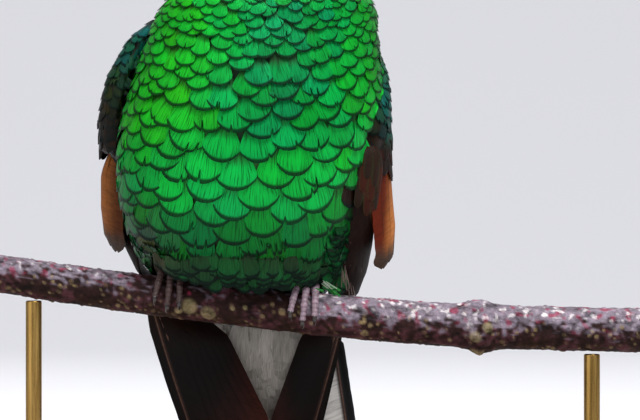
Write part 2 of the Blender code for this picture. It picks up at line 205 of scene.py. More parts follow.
class Chain:
    """A material's node tree, and short ways to add to it."""

    def __init__(self, name, **values):
        self.material = bpy.data.materials.new(name)
        self.material.use_nodes = True
        self.tree = self.material.node_tree
        self.shader = self.tree.nodes["Principled BSDF"]
        self.set(self.shader, values)

    def set(self, node, values):
        for key, value in values.items():
            socket = node.inputs[key if isinstance(key, int) else key.replace("_", " ")]
            if isinstance(value, bpy.types.NodeSocket):
                self.tree.links.new(value, socket)
            else:
                socket.default_value = value

    def add(self, kind, inputs=None, **settings):
        node = self.tree.nodes.new("ShaderNode" + kind)
        for key, value in settings.items():
            setattr(node, key, value)
        self.set(node, inputs or {})
        return node

    def place(self):
        return self.add("TexCoord").outputs["Object"]

    def parts(self, vector):
        return self.add("SeparateXYZ", {"Vector": vector}).outputs

    def vector(self, x, y, z):
        return self.add("CombineXYZ", {"X": x, "Y": y, "Z": z}).outputs[0]

    def vane(self):
        """How far across its feather and how far along it a point lies, both from 0 to 1."""
        return self.parts(self.add("UVMap", uv_map="Vane").outputs["UV"])

    def plume(self):
        """The colour that the mesh carries at this point."""
        return self.add("Attribute", attribute_name="Plume").outputs["Color"]

    def luck(self):
        """A random number that each feather has for itself."""
        return self.add("Attribute", attribute_name="Luck").outputs["Fac"]

    def noise(self, scale, detail=3.0, vector=None, roughness=0.55):
        node = self.add("TexNoise", {"Vector": vector or self.place(), "Scale": scale, "Detail": detail,
                                     "Roughness": roughness})
        return node.outputs["Fac"]

    def ramp(self, value, *stops):
        """A colour ramp: each stop is a position and a colour or a grey level."""
        node = self.add("ValToRGB", {"Fac": value})
        band = node.color_ramp.elements
        while len(band) < len(stops):
            band.new(0.5)
        for element, (position, colour) in zip(band, stops):
            element.position = position
            element.color = colour if isinstance(colour, tuple) else (colour, colour, colour, 1.0)
        return node.outputs["Color"]

    def mix(self, share, first, second, blend="MIX"):
        node = self.add("Mix", data_type="RGBA", blend_type=blend)
        self.set(node, {0: share, 6: first, 7: second})
        return node.outputs[2]

    def times(self, first, second):
        return self.mix(1.0, first, second, "MULTIPLY")

    def math(self, operation, first, second=0.0):
        return self.add("Math", {0: first, 1: second}, operation=operation).outputs[0]

    def stretch(self, scale):
        """The object's own coordinates, scaled so that a pattern grows longer one way."""
        return self.add("Mapping", {"Vector": self.place(), "Scale": scale}).outputs["Vector"]

    def show(self, **values):
        self.set(self.shader, values)

    def bump(self, height, strength, distance):
        node = self.add("Bump", {"Height": height, "Strength": strength, "Distance": distance})
        self.show(Normal=node.outputs["Normal"])


print("a middle grey of the screen, in light:", round(linear(128, 128, 128)[0], 3))

# %% [markdown]
# Paper is never quite flat: a faint bump keeps the background from looking like a plain colour.

# %% The sweep's paper


def wear(obj, chain_or_material):
    """Gives an object one material and nothing else."""
    found = getattr(chain_or_material, "material", chain_or_material)
    obj.data.materials.clear()
    obj.data.materials.append(found)


def sweep_material():
    chain = Chain("sweep_paper", Base_Color=linear(226, 226, 230), Roughness=0.9)
    chain.bump(chain.noise(400.0), 0.05, 0.0002)
    return chain


wear(SWEEP, sweep_material())
print("materials:", [material.name for material in bpy.data.materials])

# %% [markdown]
# The bird has one skin under its coat. The solids of head, neck, trunk and wing arms reach out to the
# feather tips, so a copy of them is merged, drawn in by the coat's depth, and smoothed until no seam is
# left. A voxel remesh does the merging: it fuses pieces that are closer together than one voxel or so.

# %% The skin, from the solids of flesh
BODY = ("trunk", "neck", "head")
WING_ARMS = ("wing_right_coverts", "wing_left_coverts")
FLESH = BODY + WING_ARMS
COAT_DEPTH = 1.0 * MM
ARM_COAT_DEPTH = 0.12 * MM
ARM_TUCK = 0.8 * MM
HEAD_CENTRE = Vector((5.2, -3.2, 41.0))
HEAD_TURN = math.radians(56.0)
HEAD_PITCH = math.radians(6.0)
HEAD_LEFT = Vector((math.cos(HEAD_TURN), math.sin(HEAD_TURN), 0.0))
HEAD_FORWARD = Vector((math.sin(HEAD_TURN), -math.cos(HEAD_TURN), 0.0))
HEAD_FORWARD = Matrix.Rotation(-HEAD_PITCH, 3, HEAD_LEFT) @ HEAD_FORWARD
HEAD_UP = HEAD_FORWARD.cross(HEAD_LEFT)
HEAD_AXES = [np.array(axis) for axis in (HEAD_FORWARD, HEAD_LEFT, HEAD_UP)]
EYE_PLACE = np.array((3.1, 4.75, 0.9))
EYE_RADIUS = 1.8
SOCKET_RADIUS = 2.3
VOXEL = 0.42 * MM


def in_world(points):
    """Points of the perch frame in millimetres, as metres in the world."""
    return np.asarray(points, dtype=float) * MM + np.array(PERCH_ZERO)


print("the head looks along:", [round(part, 2) for part in HEAD_FORWARD])

# %% [markdown]
# The solids came in as loose triangles, so a copy is merged before a modifier sees it. Each modifier is
# applied at once, and a finished mesh then holds all that was done to it.

# %% Copies of the solids, and what is done to them


def xyz(*parts):
    """Points from their coordinates, where a single number stands for all."""
    return np.stack(np.broadcast_arrays(*parts), axis=-1)


def copy_nodes(name, nodes):
    """One mesh object that holds copies of these CAD nodes, with their loose triangles merged."""
    shape = bmesh.new()
    for node in nodes:
        shape.from_mesh(frame["nodes"][node].data)
    bmesh.ops.remove_doubles(shape, verts=shape.verts, dist=1e-6)
    mesh = bpy.data.meshes.new(name)
    shape.to_mesh(mesh)
    shape.free()
    obj = bpy.data.objects.new(name, mesh)
    SCENE.collection.objects.link(obj)
    return obj


def apply_modifier(obj, kind, **settings):
    """Adds a modifier with these settings and applies it at once."""
    pick(obj)
    step = obj.modifiers.new(kind, kind)
    for key, value in settings.items():
        setattr(step, key, value)
    bpy.ops.object.modifier_apply(modifier=step.name)


def melt(obj, voxel, smoothing=0):
    """Fuses what lies inside one another, then smooths the result."""
    apply_modifier(obj, "REMESH", mode="VOXEL", voxel_size=voxel, use_smooth_shade=True)
    if smoothing:
        apply_modifier(obj, "SMOOTH", factor=0.5, iterations=smoothing)


def draw_in(obj, depth):
    apply_modifier(obj, "DISPLACE", strength=-depth, mid_level=0.0, direction="NORMAL")


def soften(obj, angle=60.0):
    """Shades a piece smooth, apart from edges that turn by more than this angle."""
    pick(obj)
    bpy.ops.object.shade_smooth_by_angle(angle=math.radians(angle))


def head_world(forward, left, up):
    """Points given by their way forward, left and up from the head's middle, as metres in the world."""
    spread = sum(np.asarray(part)[..., None] * axis for part, axis in zip((forward, left, up), HEAD_AXES))
    return in_world(np.array(HEAD_CENTRE) + spread)


def merge(target, others):
    """Joins other objects into this one."""
    pick(target, *others)
    bpy.ops.object.join()


print("solids under the skin:", FLESH)

# %% [markdown]
# The eye sockets are closed first, or they would stay as holes. Remeshed, drawn in and smoothed, the body
# takes up the two wing arms, and the bands where they meet are eased until they run into each other.

# %% One skin


def fill_socket(sign):
    """A ball that closes the solid's eye socket from behind, so that the skin runs on under the eye."""
    centre = head_world(EYE_PLACE[0], sign * (EYE_PLACE[1] - 0.2), EYE_PLACE[2])
    bpy.ops.mesh.primitive_uv_sphere_add(radius=SOCKET_RADIUS * MM, location=centre)
    ball = bpy.context.object
    bpy.ops.object.transform_apply(location=True, rotation=False, scale=False)
    return ball


def ramp(way, reach):
    """0 below no way at all, and 1 from the full reach onward."""
    return min(max(way / reach, 0.0), 1.0)


def neck_share(away):
    """The band between the shoulders and the face, where the head would else run in with a fold."""
    height = away.z / MM
    return ramp(height - 32.6, 2.5) * ramp(39.5 - height, 3.0)


def shoulder_share(away):
    """The tops of the wings, which would else rise out of the back with a step."""
    place = away / MM
    share = ramp(place.z - 26.5, 3.5) * ramp(abs(place.x - 1.0) - 6.0, 2.0)
    share *= ramp(place.y + 1.0, 3.0)
    return share if place.z < 35.0 else 0.0


def ease(skin, name, share_at, iterations):
    """Smooths one band of the skin, by the share that a function gives for each place."""
    band = skin.vertex_groups.new(name=name)
    for vertex in skin.data.vertices:
        share = share_at(vertex.co - PERCH_ZERO)
        if share > 0.0:
            band.add([vertex.index], share, "REPLACE")
    apply_modifier(skin, "SMOOTH", factor=0.6, iterations=iterations, vertex_group=name)


def make_skin():
    skin = copy_nodes("skin", BODY)
    merge(skin, [fill_socket(sign) for sign in (1.0, -1.0)])
    melt(skin, VOXEL, 14)
    draw_in(skin, COAT_DEPTH)
    arms = copy_nodes("arms", WING_ARMS)
    melt(arms, 0.8 * VOXEL)
    draw_in(arms, ARM_COAT_DEPTH)
    for vertex in arms.data.vertices:
        vertex.co.x -= math.copysign(ARM_TUCK, vertex.co.x - PERCH_ZERO.x)
    merge(skin, [arms])
    melt(skin, 0.9 * VOXEL, 6)
    ease(skin, "neck", neck_share, 120)
    ease(skin, "shoulders", shoulder_share, 70)
    return skin


def unwrap(obj):
    """Spreads the object's own surface flat, in islands, on a map named OFBake."""
    pick(obj)
    obj.data.uv_layers.new(name="OFBake")
    bpy.ops.object.mode_set(mode="EDIT")
    bpy.ops.mesh.select_all(action="SELECT")
    bpy.ops.uv.smart_project(angle_limit=math.radians(66.0), island_margin=0.006)
    bpy.ops.object.mode_set(mode="OBJECT")


SKIN = make_skin()
unwrap(SKIN)
print("skin faces:", len(SKIN.data.polygons))

# %% [markdown]
# Feathers must know where they are. A plain class answers the questions that the coat asks of the skin:
# the nearest place on it, and the way out of it there, smoothed so that neighbouring vanes lie alike.

# %% Asking the skin where things are


def unit(vectors):
    vectors = np.asarray(vectors, dtype=float)
    return vectors / (np.linalg.norm(vectors, axis=-1, keepdims=True) + 1e-12)


class Ground:
    """The surface that a coat grows on."""

    def __init__(self, obj):
        self.points, self.normals, self.triangles = mesh_arrays(obj)
        self.tree = BVHTree.FromPolygons(self.points.tolist(), self.triangles.tolist())
        loops = np.empty(len(self.triangles) * 3, dtype=np.int64)
        obj.data.loop_triangles.foreach_get("loops", loops)
        flat = np.zeros(len(obj.data.loops) * 2)
        if obj.data.uv_layers:
            obj.data.uv_layers[0].data.foreach_get("uv", flat)
        self.flat = flat.reshape(-1, 2)[loops.reshape(-1, 3)]

    def spot(self, place):
        """Where the nearest point lies on the flat map."""
        point, _, index, _ = self.tree.find_nearest(place)
        reach = np.linalg.norm(self.points[self.triangles[index]] - np.array(point), axis=1)
        return self.flat[index][reach.argmin()]

    def drape(self, places):
        """The nearest points on the surface, and the smoothed normals there."""
        found = [self.tree.find_nearest(place) for place in places.tolist()]
        points = np.array([hit[0][:] for hit in found])
        corners = self.triangles[[hit[2] for hit in found]]
        reach = np.linalg.norm(self.points[corners] - points[:, None, :], axis=2)
        weights = 1.0 / (reach + 1e-6)
        return points, unit((self.normals[corners] * weights[:, :, None]).sum(axis=1))

    def scatter(self, count, rng):
        """Random points all over, evenly by area, with their normals."""
        a, b, c = (self.points[self.triangles[:, k]] for k in range(3))
        area = np.linalg.norm(np.cross(b - a, c - a), axis=1)
        chosen = rng.choice(len(area), size=count, p=area / area.sum())
        u, v = rng.random(count), rng.random(count)
        flip = u + v > 1.0
        u[flip], v[flip] = 1.0 - u[flip], 1.0 - v[flip]
        mix = np.stack([1.0 - u - v, u, v], axis=1)[:, :, None]
        corners = self.triangles[chosen]
        normals = (self.normals[corners] * mix).sum(axis=1)
        return (self.points[corners] * mix).sum(axis=1), normals / np.linalg.norm(normals, axis=1)[:, None]


GROUND = Ground(SKIN)
print("skin box, mm:", (GROUND.points.min(axis=0) / MM).round(1), (GROUND.points.max(axis=0) / MM).round(1))

# %% [markdown]
# The coat is laid out like tiles. Each feather has a root on the skin, a direction to lie in, and a width
# that grows from the face to the breast. Roots keep a distance in proportion to that width, so small and
# large feathers both overlap by the same share. The lie runs back over the head and down the body.

# %% Where feathers grow, how large they are and which way they lie
WIDTH_BY_HEIGHT = ((-5.0, 2.2), (2.0, 2.8), (7.0, 3.7), (12.0, 4.3), (19.0, 4.2), (24.0, 3.4), (29.0, 2.5),
                   (33.0, 1.8), (37.0, 1.4))
WIDTH_BY_FORWARD = ((-10.0, 1.7), (-5.0, 1.35), (0.0, 1.0), (4.0, 0.72), (8.0, 0.5))
BARE_RING = 1.6
WING_WIDTH_BY_HEIGHT = ((16.0, 2.2), (24.0, 1.7), (33.0, 1.3))


def read(table, value):
    return np.interp(value, [row[0] for row in table], [row[1] for row in table])


def local(points):
    """Points in millimetres from the twig's axis under the bird."""
    return (np.asarray(points) - np.array(PERCH_ZERO)) / MM


def head_local(points):
    """Points as distances forward, left and up from the head's middle."""
    away = local(points) - np.array(HEAD_CENTRE)
    return np.stack([away @ axis for axis in HEAD_AXES], axis=-1)


def smooth_step(low, high, value):
    t = np.clip((np.asarray(value) - low) / (high - low), 0.0, 1.0)
    return t * t * (3.0 - 2.0 * t)


print("feathers at mid breast are", round(read(WIDTH_BY_HEIGHT, 15.0), 1), "mm wide")

# %% [markdown]
# The skin has no seams, so a point of it has to be told whether it is wing or body: it belongs to the solid
# that it lies nearest to. The neck changes over from body to head little by little.

# %% Wing or body


def node_tree(name):
    points, _, triangles = mesh_arrays(frame["nodes"][name])
    return BVHTree.FromPolygons(points.tolist(), triangles.tolist())


ARMS, TORSO = ([node_tree(name) for name in names] for names in (WING_ARMS, BODY))


def on_arm(point):
    """Whether a point of the skin lies under a wing's coverts, and not under the body's own coat."""
    untucked = np.array(point)
    untucked[0] += math.copysign(ARM_TUCK, point[0] - PERCH_ZERO.x)
    arm = min(tree.find_nearest(untucked)[3] for tree in ARMS)
    return arm < 0.7 * MM or arm < min(tree.find_nearest(point)[3] for tree in TORSO) - 0.2 * MM


def head_share(points):
    """1 on the head, 0 on the body, with a soft change across the neck."""
    p = local(points)
    return smooth_step(34.0, 37.5, p[..., 2] + 0.16 * (p[..., 0] - 4.0))


print("the middle of the breast is on a wing:", on_arm(in_world((0.0, -11.0, 15.0))))

# %% [markdown]
# Feathers shrink toward the face, and most of all round the eyes, where they part and leave a bare ring.

# %% How wide each feather is


def from_eye(h, flatten):
    """The way from the nearer eye, made shorter across the head."""
    return (h - EYE_PLACE * xyz(1.0, np.sign(h[..., 1]), 1.0)) * (1.0, flatten, 1.0)


def feather_width(points, arm):
    p = local(points)
    body = read(WIDTH_BY_HEIGHT, p[..., 2])
    flank = smooth_step(9.0, 14.0, np.abs(p[..., 0] - 0.03 * p[..., 2]))
    body = body * (1.0 - 0.22 * flank)
    h = head_local(points)
    rim = np.linalg.norm(from_eye(h, 0.3), axis=-1)
    head = read(WIDTH_BY_FORWARD, h[..., 0]) * (0.55 + 0.45 * smooth_step(1.7, 3.0, rim))
    share = head_share(points)
    plain = body * (1.0 - share) + head * share
    return np.where(arm, read(WING_WIDTH_BY_HEIGHT, p[..., 2]), plain) * MM


def eye_clearing(h):
    """A push away from the nearer eye, that lets the lie of the feathers part round it."""
    away = from_eye(h, 0.3)
    reach = np.linalg.norm(away, axis=-1, keepdims=True)
    push = 0.9 * smooth_step(3.4, 1.6, reach) * away / (reach + 1e-6)
    return sum(push[..., k, None] * axis for k, axis in enumerate(HEAD_AXES))


def clear_of_eyes(points):
    """Whether points are outside the discs of bare skin round the eyes."""
    return np.linalg.norm(from_eye(head_local(points), 0.4), axis=-1) > BARE_RING


print("an ear is clear of the eye:", bool(clear_of_eyes(head_world(-1.0, 4.6, 1.0))))

# %% [markdown]
# A coat is combed by flight: backward over the head, down over breast and belly, a little outward at the
# flanks. The direction is laid flat on the skin at the end, by taking away what points out of it.

# %% Which way each feather lies


def feather_lie(points, normals, arm):
    """The direction from root to tip, along the surface."""
    p = local(points)
    down = np.zeros_like(p)
    down[..., 2] = -1.0
    down[..., 0] = 0.045 * p[..., 0]
    down[..., 1] = np.where(p[..., 1] > 4.0, 0.25, 0.05) + 0.35 * smooth_step(6.0, 1.0, p[..., 2])
    down[arm] = np.array((0.0, 0.12, -1.0))
    h = head_local(points)
    back = -np.array(HEAD_FORWARD)[None, :] + np.zeros_like(p)
    back[..., 2] -= 0.9 * smooth_step(3.5, -6.0, h[..., 0]) + 1.6 * smooth_step(-1.5, -5.0, h[..., 2])
    back = back + eye_clearing(h)
    share = head_share(points)[..., None]
    lie = unit(down) * (1.0 - share) + unit(back) * share
    return unit(lie - normals * (lie * normals).sum(axis=-1, keepdims=True))


DOWNWARD = feather_lie(in_world([[0.0, -11.0, 15.0]]), np.array([[0.0, -1.0, 0.0]]), np.array([False]))
print("lie at mid breast:", DOWNWARD.round(2))

# %% [markdown]
# Many random points are tried one after another, and each that has enough room becomes a root. That gives
# an even coat without rows that look ruled.

# %% Roots


def spread_roots(ground, count, spacing, rng):
    """Roots whose distances suit their widths; a grid of cells finds those near to each new point."""
    points, normals = ground.scatter(count, rng)
    clear = clear_of_eyes(points)
    points, normals = points[clear], normals[clear]
    arm = np.array([on_arm(point) for point in points])
    width = feather_width(points, arm)
    cell = width.max() * spacing
    grid = {}
    kept = []
    keys = np.floor(points / cell).astype(int)
    around = [(i, j, k) for i in (-1, 0, 1) for j in (-1, 0, 1) for k in (-1, 0, 1)]
    for index, key in enumerate(map(tuple, keys)):
        near = [other for i, j, k in around for other in grid.get((key[0] + i, key[1] + j, key[2] + k), ())]
        if near:
            reach = np.sqrt(((points[near] - points[index]) ** 2).sum(axis=1))
            if (reach < spacing * 0.5 * (width[near] + width[index])).any():
                continue
        grid.setdefault(key, []).append(index)
        kept.append(index)
    return points[kept], normals[kept], arm[kept], width[kept]


RNG = np.random.default_rng(7)
ROOTS, OUTWARD, ARM, WIDTH = spread_roots(GROUND, 62000, 0.53, RNG)
print("feather roots:", len(ROOTS), "on the arms:", int(ARM.sum()))

# %% [markdown]
# The green of a hummingbird is no dye: layers of flat platelets in each barb mirror one band of light, so
# the same feather looks emerald, teal or black as it turns. Here the band is painted as a colour that each
# feather takes from its place: lime on the shoulder side, teal high on the chest, emerald over the breast,
# and darker low on the belly, partly a duller green and partly painted shade under the light from above. The
# skin below takes the same colours, much darkened as painted shade.

# %% The colours of the plumage, by place
LIME = (38, 192, 34)
EMERALD = (8, 184, 66)
TEAL = (0, 132, 68)
BELLY_GREEN_AND_SHADE = (14, 98, 44)
BELLY_PAINTED_SHADE = (36, 52, 34)
NECK_DUSK = (10, 60, 42)
DOWN_GREY = (84, 72, 62)
BACK_BRONZE = (38, 120, 40)
VENT_WHITE = (160, 157, 149)
CROWN_GREEN = (16, 140, 44)
CHEEK_GREEN = (6, 160, 60)
EAR_WHITE = (226, 228, 222)
LORE_BLACK = (12, 22, 18)
ARM_TEAL = (22, 104, 88)
ARM_OLIVE = (44, 62, 34)
ARM_BROWN = (40, 26, 18)


def screen(colour):
    return np.array(linear(*colour)[:3])


def flat_colour(name, shape):
    """One colour at every place of a field of this shape."""
    return np.zeros(tuple(shape) + (3,)) + screen(name)


def between(first, second, share):
    return screen(first) + (screen(second) - screen(first)) * share


def laid(base, *layers):
    """A field of colours under further layers: each is a colour and the share of it at every place."""
    colour = base
    for name, amount in layers:
        colour = colour + (screen(name) - colour) * np.clip(amount, 0.0, 1.0)[..., None]
    return colour


def bump_at(values, middle, reach):
    """A soft bell, 1 in the middle and 0 from reach outward."""
    return smooth_step(1.0, 0.0, np.abs((values - middle) / reach))


print("emerald, in light:", screen(EMERALD).round(3))

# %% [markdown]
# Colours are laid one over another like glazes, each with a soft edge and a share of its own. Places are
# in millimetres from the twig: x to the bird's left, y to its back and z upward.

# %% Which colour lies where


def body_layers(x, y, z):
    """Colours of neck, breast, belly, flanks, back and vent, in that order."""
    wing_edge = 12.3 + 0.45 * (z - 20.0)
    return ((LIME, 0.85 * smooth_step(-1.0, -6.5, x) * smooth_step(16.0, 24.0, z)),
            (LIME, 0.45 * smooth_step(8.0, 11.5, x) * smooth_step(20.0, 24.0, z)),
            (TEAL, 0.95 * bump_at(x, 3.2 + 0.15 * (z - 28.0), 9.5) * smooth_step(17.0, 25.5, z)),
            (TEAL, 0.45 * smooth_step(9.5, 12.5, x) * smooth_step(21.0, 16.0, z)),
            # Low on the belly and flanks the green is darkened: partly a duller green, partly painted shade
            # away from the light above.
            (BELLY_GREEN_AND_SHADE, 0.9 * smooth_step(17.0, 10.5, z)),
            (BELLY_PAINTED_SHADE, 0.8 * smooth_step(9.5, 4.0, z)),
            (BELLY_GREEN_AND_SHADE, 0.7 * smooth_step(8.5, 12.5, np.abs(x)) * smooth_step(19.0, 14.0, z)),
            (NECK_DUSK, smooth_step(12.0, 14.4, x) * smooth_step(25.0, 30.0, z)),
            (DOWN_GREY, 0.95 * bump_at(x, -10.4, 2.6) * bump_at(z, 10.2, 3.4) * smooth_step(4.0, 0.0, y)),
            (ARM_BROWN, smooth_step(wing_edge, wing_edge + 0.7, x) * smooth_step(12.5, 14.5, z)
             * smooth_step(25.0, 23.5, z)),
            (BACK_BRONZE, 0.9 * smooth_step(1.0, 5.0, y - 0.12 * np.abs(x)) * smooth_step(-2.0, 1.0, z)),
            (VENT_WHITE, smooth_step(3.5, 1.5, z) * smooth_step(0.5, 2.5, y) * smooth_step(12.5, 10.5, y)))


def head_layers(h, share):
    """Colours of cheeks, crown, lores and ear spot."""
    ear = np.linalg.norm((h - np.array((0.2, 0.0, 1.3))) * np.array((1.0, 0.0, 1.5)), axis=-1)
    return ((CHEEK_GREEN, share),
            (CROWN_GREEN, share * smooth_step(0.5, 4.0, h[..., 2])),
            (LORE_BLACK, share * smooth_step(4.6, 6.6, h[..., 0]) * 0.7),
            (EAR_WHITE, share * smooth_step(1.3, 0.8, ear) * smooth_step(3.5, 4.5, np.abs(h[..., 1]))))


def arm_layers(x, y, z, arm):
    """Colours of the wing's coverts: teal above, olive, then brown, and bronze to the back."""
    layers = ((ARM_OLIVE, np.ones(x.shape)),
              (ARM_TEAL, 0.8 * smooth_step(26.0, 30.0, z)),
              (ARM_BROWN, 0.95 * smooth_step(27.0, 22.0, z)),
              (ARM_TEAL, 0.9 * smooth_step(13.0, 14.2, x) * smooth_step(20.5, 23.5, z)),
              (BACK_BRONZE, 0.85 * smooth_step(27.0, 30.5, z) * smooth_step(1.0, 4.0, y)))
    return tuple((name, amount * arm) for name, amount in layers)


def plume_colour(points, arm):
    p = local(points)
    x, y, z = p[..., 0], p[..., 1], p[..., 2]
    head = head_layers(head_local(points), head_share(points))
    return laid(flat_colour(EMERALD, x.shape), *body_layers(x, y, z), *head, *arm_layers(x, y, z, arm))


print("colour at mid breast:", plume_colour(in_world([[0.0, -11.0, 15.0]]), np.zeros(1)).round(3))

# %% [markdown]
# No two neighbours shine quite alike, so each feather is turned a little toward yellow or toward blue. The
# skin is painted point by point with the same colours, which its material darkens as painted shade, so that
# a gap in the coat shows as a shaded dark green.

# %% Single feathers, and the skin's painted shade


def per_feather(points, arm, rng):
    colour = plume_colour(points, arm)
    shift = rng.normal(0.0, 1.0, (len(points), 2))
    scale = xyz(1.0 + 0.3 * shift[:, 1], 1.0 + 0.08 * shift[:, 0], 1.0 - 0.26 * shift[:, 1])
    return np.clip(colour * np.clip(scale, 0.5, 1.6), 0.0, 1.0)


def paint(obj, name, colours):
    """Keeps one colour for each vertex as an attribute of the mesh."""
    layer = obj.data.attributes.new(name, "FLOAT_COLOR", "POINT")
    layer.data.foreach_set("color", np.concatenate([colours, np.ones((len(colours), 1))], axis=1).ravel())


def painted_shade_skin_material():
    chain = Chain("skin_under_coat_painted_shade", Roughness=0.85)
    # The plumage colours, much darkened: painted shade for the gaps between feathers.
    tone = chain.times(chain.plume(), linear(96, 88, 84))
    chain.show(Base_Color=chain.mix(chain.noise(1500.0), tone, linear(26, 20, 18)))
    chain.bump(chain.noise(2500.0), 0.4, 0.00008)
    return chain


SKIN_ON_ARM = np.array([on_arm(point) for point in GROUND.points])
paint(SKIN, "Plume", plume_colour(GROUND.points, SKIN_ON_ARM))
wear(SKIN, painted_shade_skin_material())
print("skin painted:", len(SKIN_ON_ARM), "points")

# %% [markdown]
# A body feather is a fan of barbs with a round rim, thickest in the middle. It is made as a sheet of rows
# and columns with an underside, and thousands of such sheets are put into one mesh at once, because
# making each by hand, or as an object of its own, would take far too long.

# %% Contour feathers
PATCH = 0.003
VANE_THICKNESS = 0.07
ROUND = 0.88


def fan_rows(columns, rows):
    across, along = np.meshgrid(np.linspace(-1.0, 1.0, columns), np.linspace(0.0, 1.0, rows))
    return across, along


def sheet_faces(columns, rows, low):
    """Quads of a sheet and of its underside; low is the index of an underside point for every point."""
    index = np.arange(columns * rows).reshape(rows, columns)
    corners = [index[:-1, :-1], index[:-1, 1:], index[1:, 1:], index[1:, :-1]]
    top = np.stack([corner.ravel() for corner in corners], axis=1)
    return np.concatenate([top, low[top][:, ::-1]])


def rim_sag(across):
    """How far the rim of a vane falls back from its tip, as a share of the half width."""
    return 1.0 - np.sqrt(1.0 - (ROUND * across) ** 2)


def vane_pairs(across, along):
    """Each point's place on its own vane, both from 0 to 1."""
    return np.stack([(across.ravel() + 1.0) * 0.5, along.ravel()], axis=1)


def patches(ground, places, across, along):
    """Each vane's patch on the flat map of the ground, at its root's place."""
    spots = np.array([ground.spot(root) for root in places.tolist()])
    return spots[:, None, :] + (vane_pairs(across, along)[None] - 0.5) * PATCH


def make_sheets(name, top, thickness, across, along, luck, colours, bake):
    """One mesh of many vanes, whose undersides share their rims.

    top is (vanes, rows, columns, 3), colours one for each vane or for each point, and bake their flat map.
    """
    count, rows, columns = top.shape[:3]
    inner = np.zeros((rows, columns), dtype=bool)
    inner[1:-1, 1:-1] = True
    inner = inner.ravel()
    low = np.arange(rows * columns)
    low[inner] = rows * columns + np.arange(inner.sum())
    faces = sheet_faces(columns, rows, low)
    upper = top.reshape(count, -1, 3)
    if colours.ndim == 2:
        colours = np.repeat(colours[:, None], rows * columns, axis=1)

    def with_underside(values, shift=0.0):
        return np.concatenate([values, (values - shift)[:, inner]], axis=1)

    each = with_underside(upper, thickness.reshape(count, -1, 3))
    size = each.shape[1]
    quads = (faces[None] + size * np.arange(count)[:, None, None]).reshape(-1, 4)
    mesh = bpy.data.meshes.new(name)
    mesh.vertices.add(count * size)
    mesh.vertices.foreach_set("co", each.ravel())
    mesh.loops.add(quads.size)
    mesh.loops.foreach_set("vertex_index", quads.ravel())
    mesh.polygons.add(len(quads))
    mesh.polygons.foreach_set("loop_start", np.arange(len(quads)) * 4)
    mesh.update(calc_edges=True)
    obj = bpy.data.objects.new(name, mesh)
    SCENE.collection.objects.link(obj)
    vane = np.repeat(vane_pairs(across, along)[None], count, axis=0)
    for title, values in (("OFBake", with_underside(bake)), ("Vane", with_underside(vane))):
        flat = values.reshape(-1, 2)[quads.ravel()]
        mesh.uv_layers.new(name=title).data.foreach_set("uv", flat.ravel())
    paint(obj, "Plume", with_underside(colours).reshape(-1, 3))
    layer = mesh.attributes.new("Luck", "FLOAT", "POINT")
    layer.data.foreach_set("value", np.repeat(luck, size))
    soften(obj)
    return obj


print("faces of a small vane:", len(sheet_faces(9, 5, np.arange(45))))

# %% [markdown]
# A region's feathers share one cut: how fine the vane is, how long and narrow, how far its tip stands off,
# and how often two barbs part and leave a slit. Each is draped on the skin at its root, and each row of it
# stands a little farther off than the one above, so that the rims lie on the next feathers as shingles do.

# %% Feathers laid on the skin


class Lie:
    """How one region's feathers are cut and laid: sizes are shares of the width, heights in millimetres."""

    def __init__(self, columns, rows, slits, length, narrow=1.0, tip=0.84, slope=0.15, fray=0.004,
                 wander=0.09):
        self.columns, self.rows, self.slits, self.length, self.narrow = columns, rows, slits, length, narrow
        self.tip, self.slope, self.fray, self.wander = tip * MM, slope, fray, wander


def contour_feathers(name, ground, place, normal, lie, width, colours, cut, rng):
    """Vanes at these roots, shaped to the ground."""
    turn = rng.normal(0.0, cut.wander, len(place))[:, None]
    lie = unit(lie + np.cross(normal, lie) * turn)
    side = np.cross(lie, normal)
    across, along = fan_rows(cut.columns, cut.rows)
    half = (cut.narrow * width * 0.5 * rng.uniform(0.92, 1.1, len(width)))[:, None, None]
    long = (width * cut.length * rng.uniform(0.92, 1.1, len(width)))[:, None, None]
    spread = 0.42 + 0.58 * smooth_step(0.0, 0.85, along)
    fray = rng.normal(0.0, cut.fray, (len(place), 1, cut.columns))
    slit = rng.random((len(place), 1, cut.columns)) < cut.slits / cut.columns
    slit = slit * rng.uniform(0.08, 0.3, (len(place), 1, 1))
    x = across * half * spread * (1.0 - 0.05 * along ** 6)
    y = along * long - half / ROUND * rim_sag(across) * along ** 2.0 - 0.12 * long
    y = y + long * (fray - slit) * along ** 6
    rise = np.minimum(0.84 * cut.tip, cut.slope * long)
    lift = rng.normal(0.0, 0.035 * MM, (len(place), 1, 1))
    height = cut.tip - rise * (1.0 - along ** 1.25) + lift * along
    height = height - 0.10 * half * across ** 2 * (0.3 + along)
    flat = place[:, None, None] + side[:, None, None] * x[..., None] + lie[:, None, None] * y[..., None]
    point, out = ground.drape(flat.reshape(-1, 3))
    out = out.reshape(flat.shape)
    top = point.reshape(flat.shape) + out * height[..., None]
    return make_sheets(name, top, out * VANE_THICKNESS * MM, across, along, rng.random(len(place)), colours,
                       patches(ground, place, across, along))


print("a vane of the coat is", VANE_THICKNESS, "mm thick")
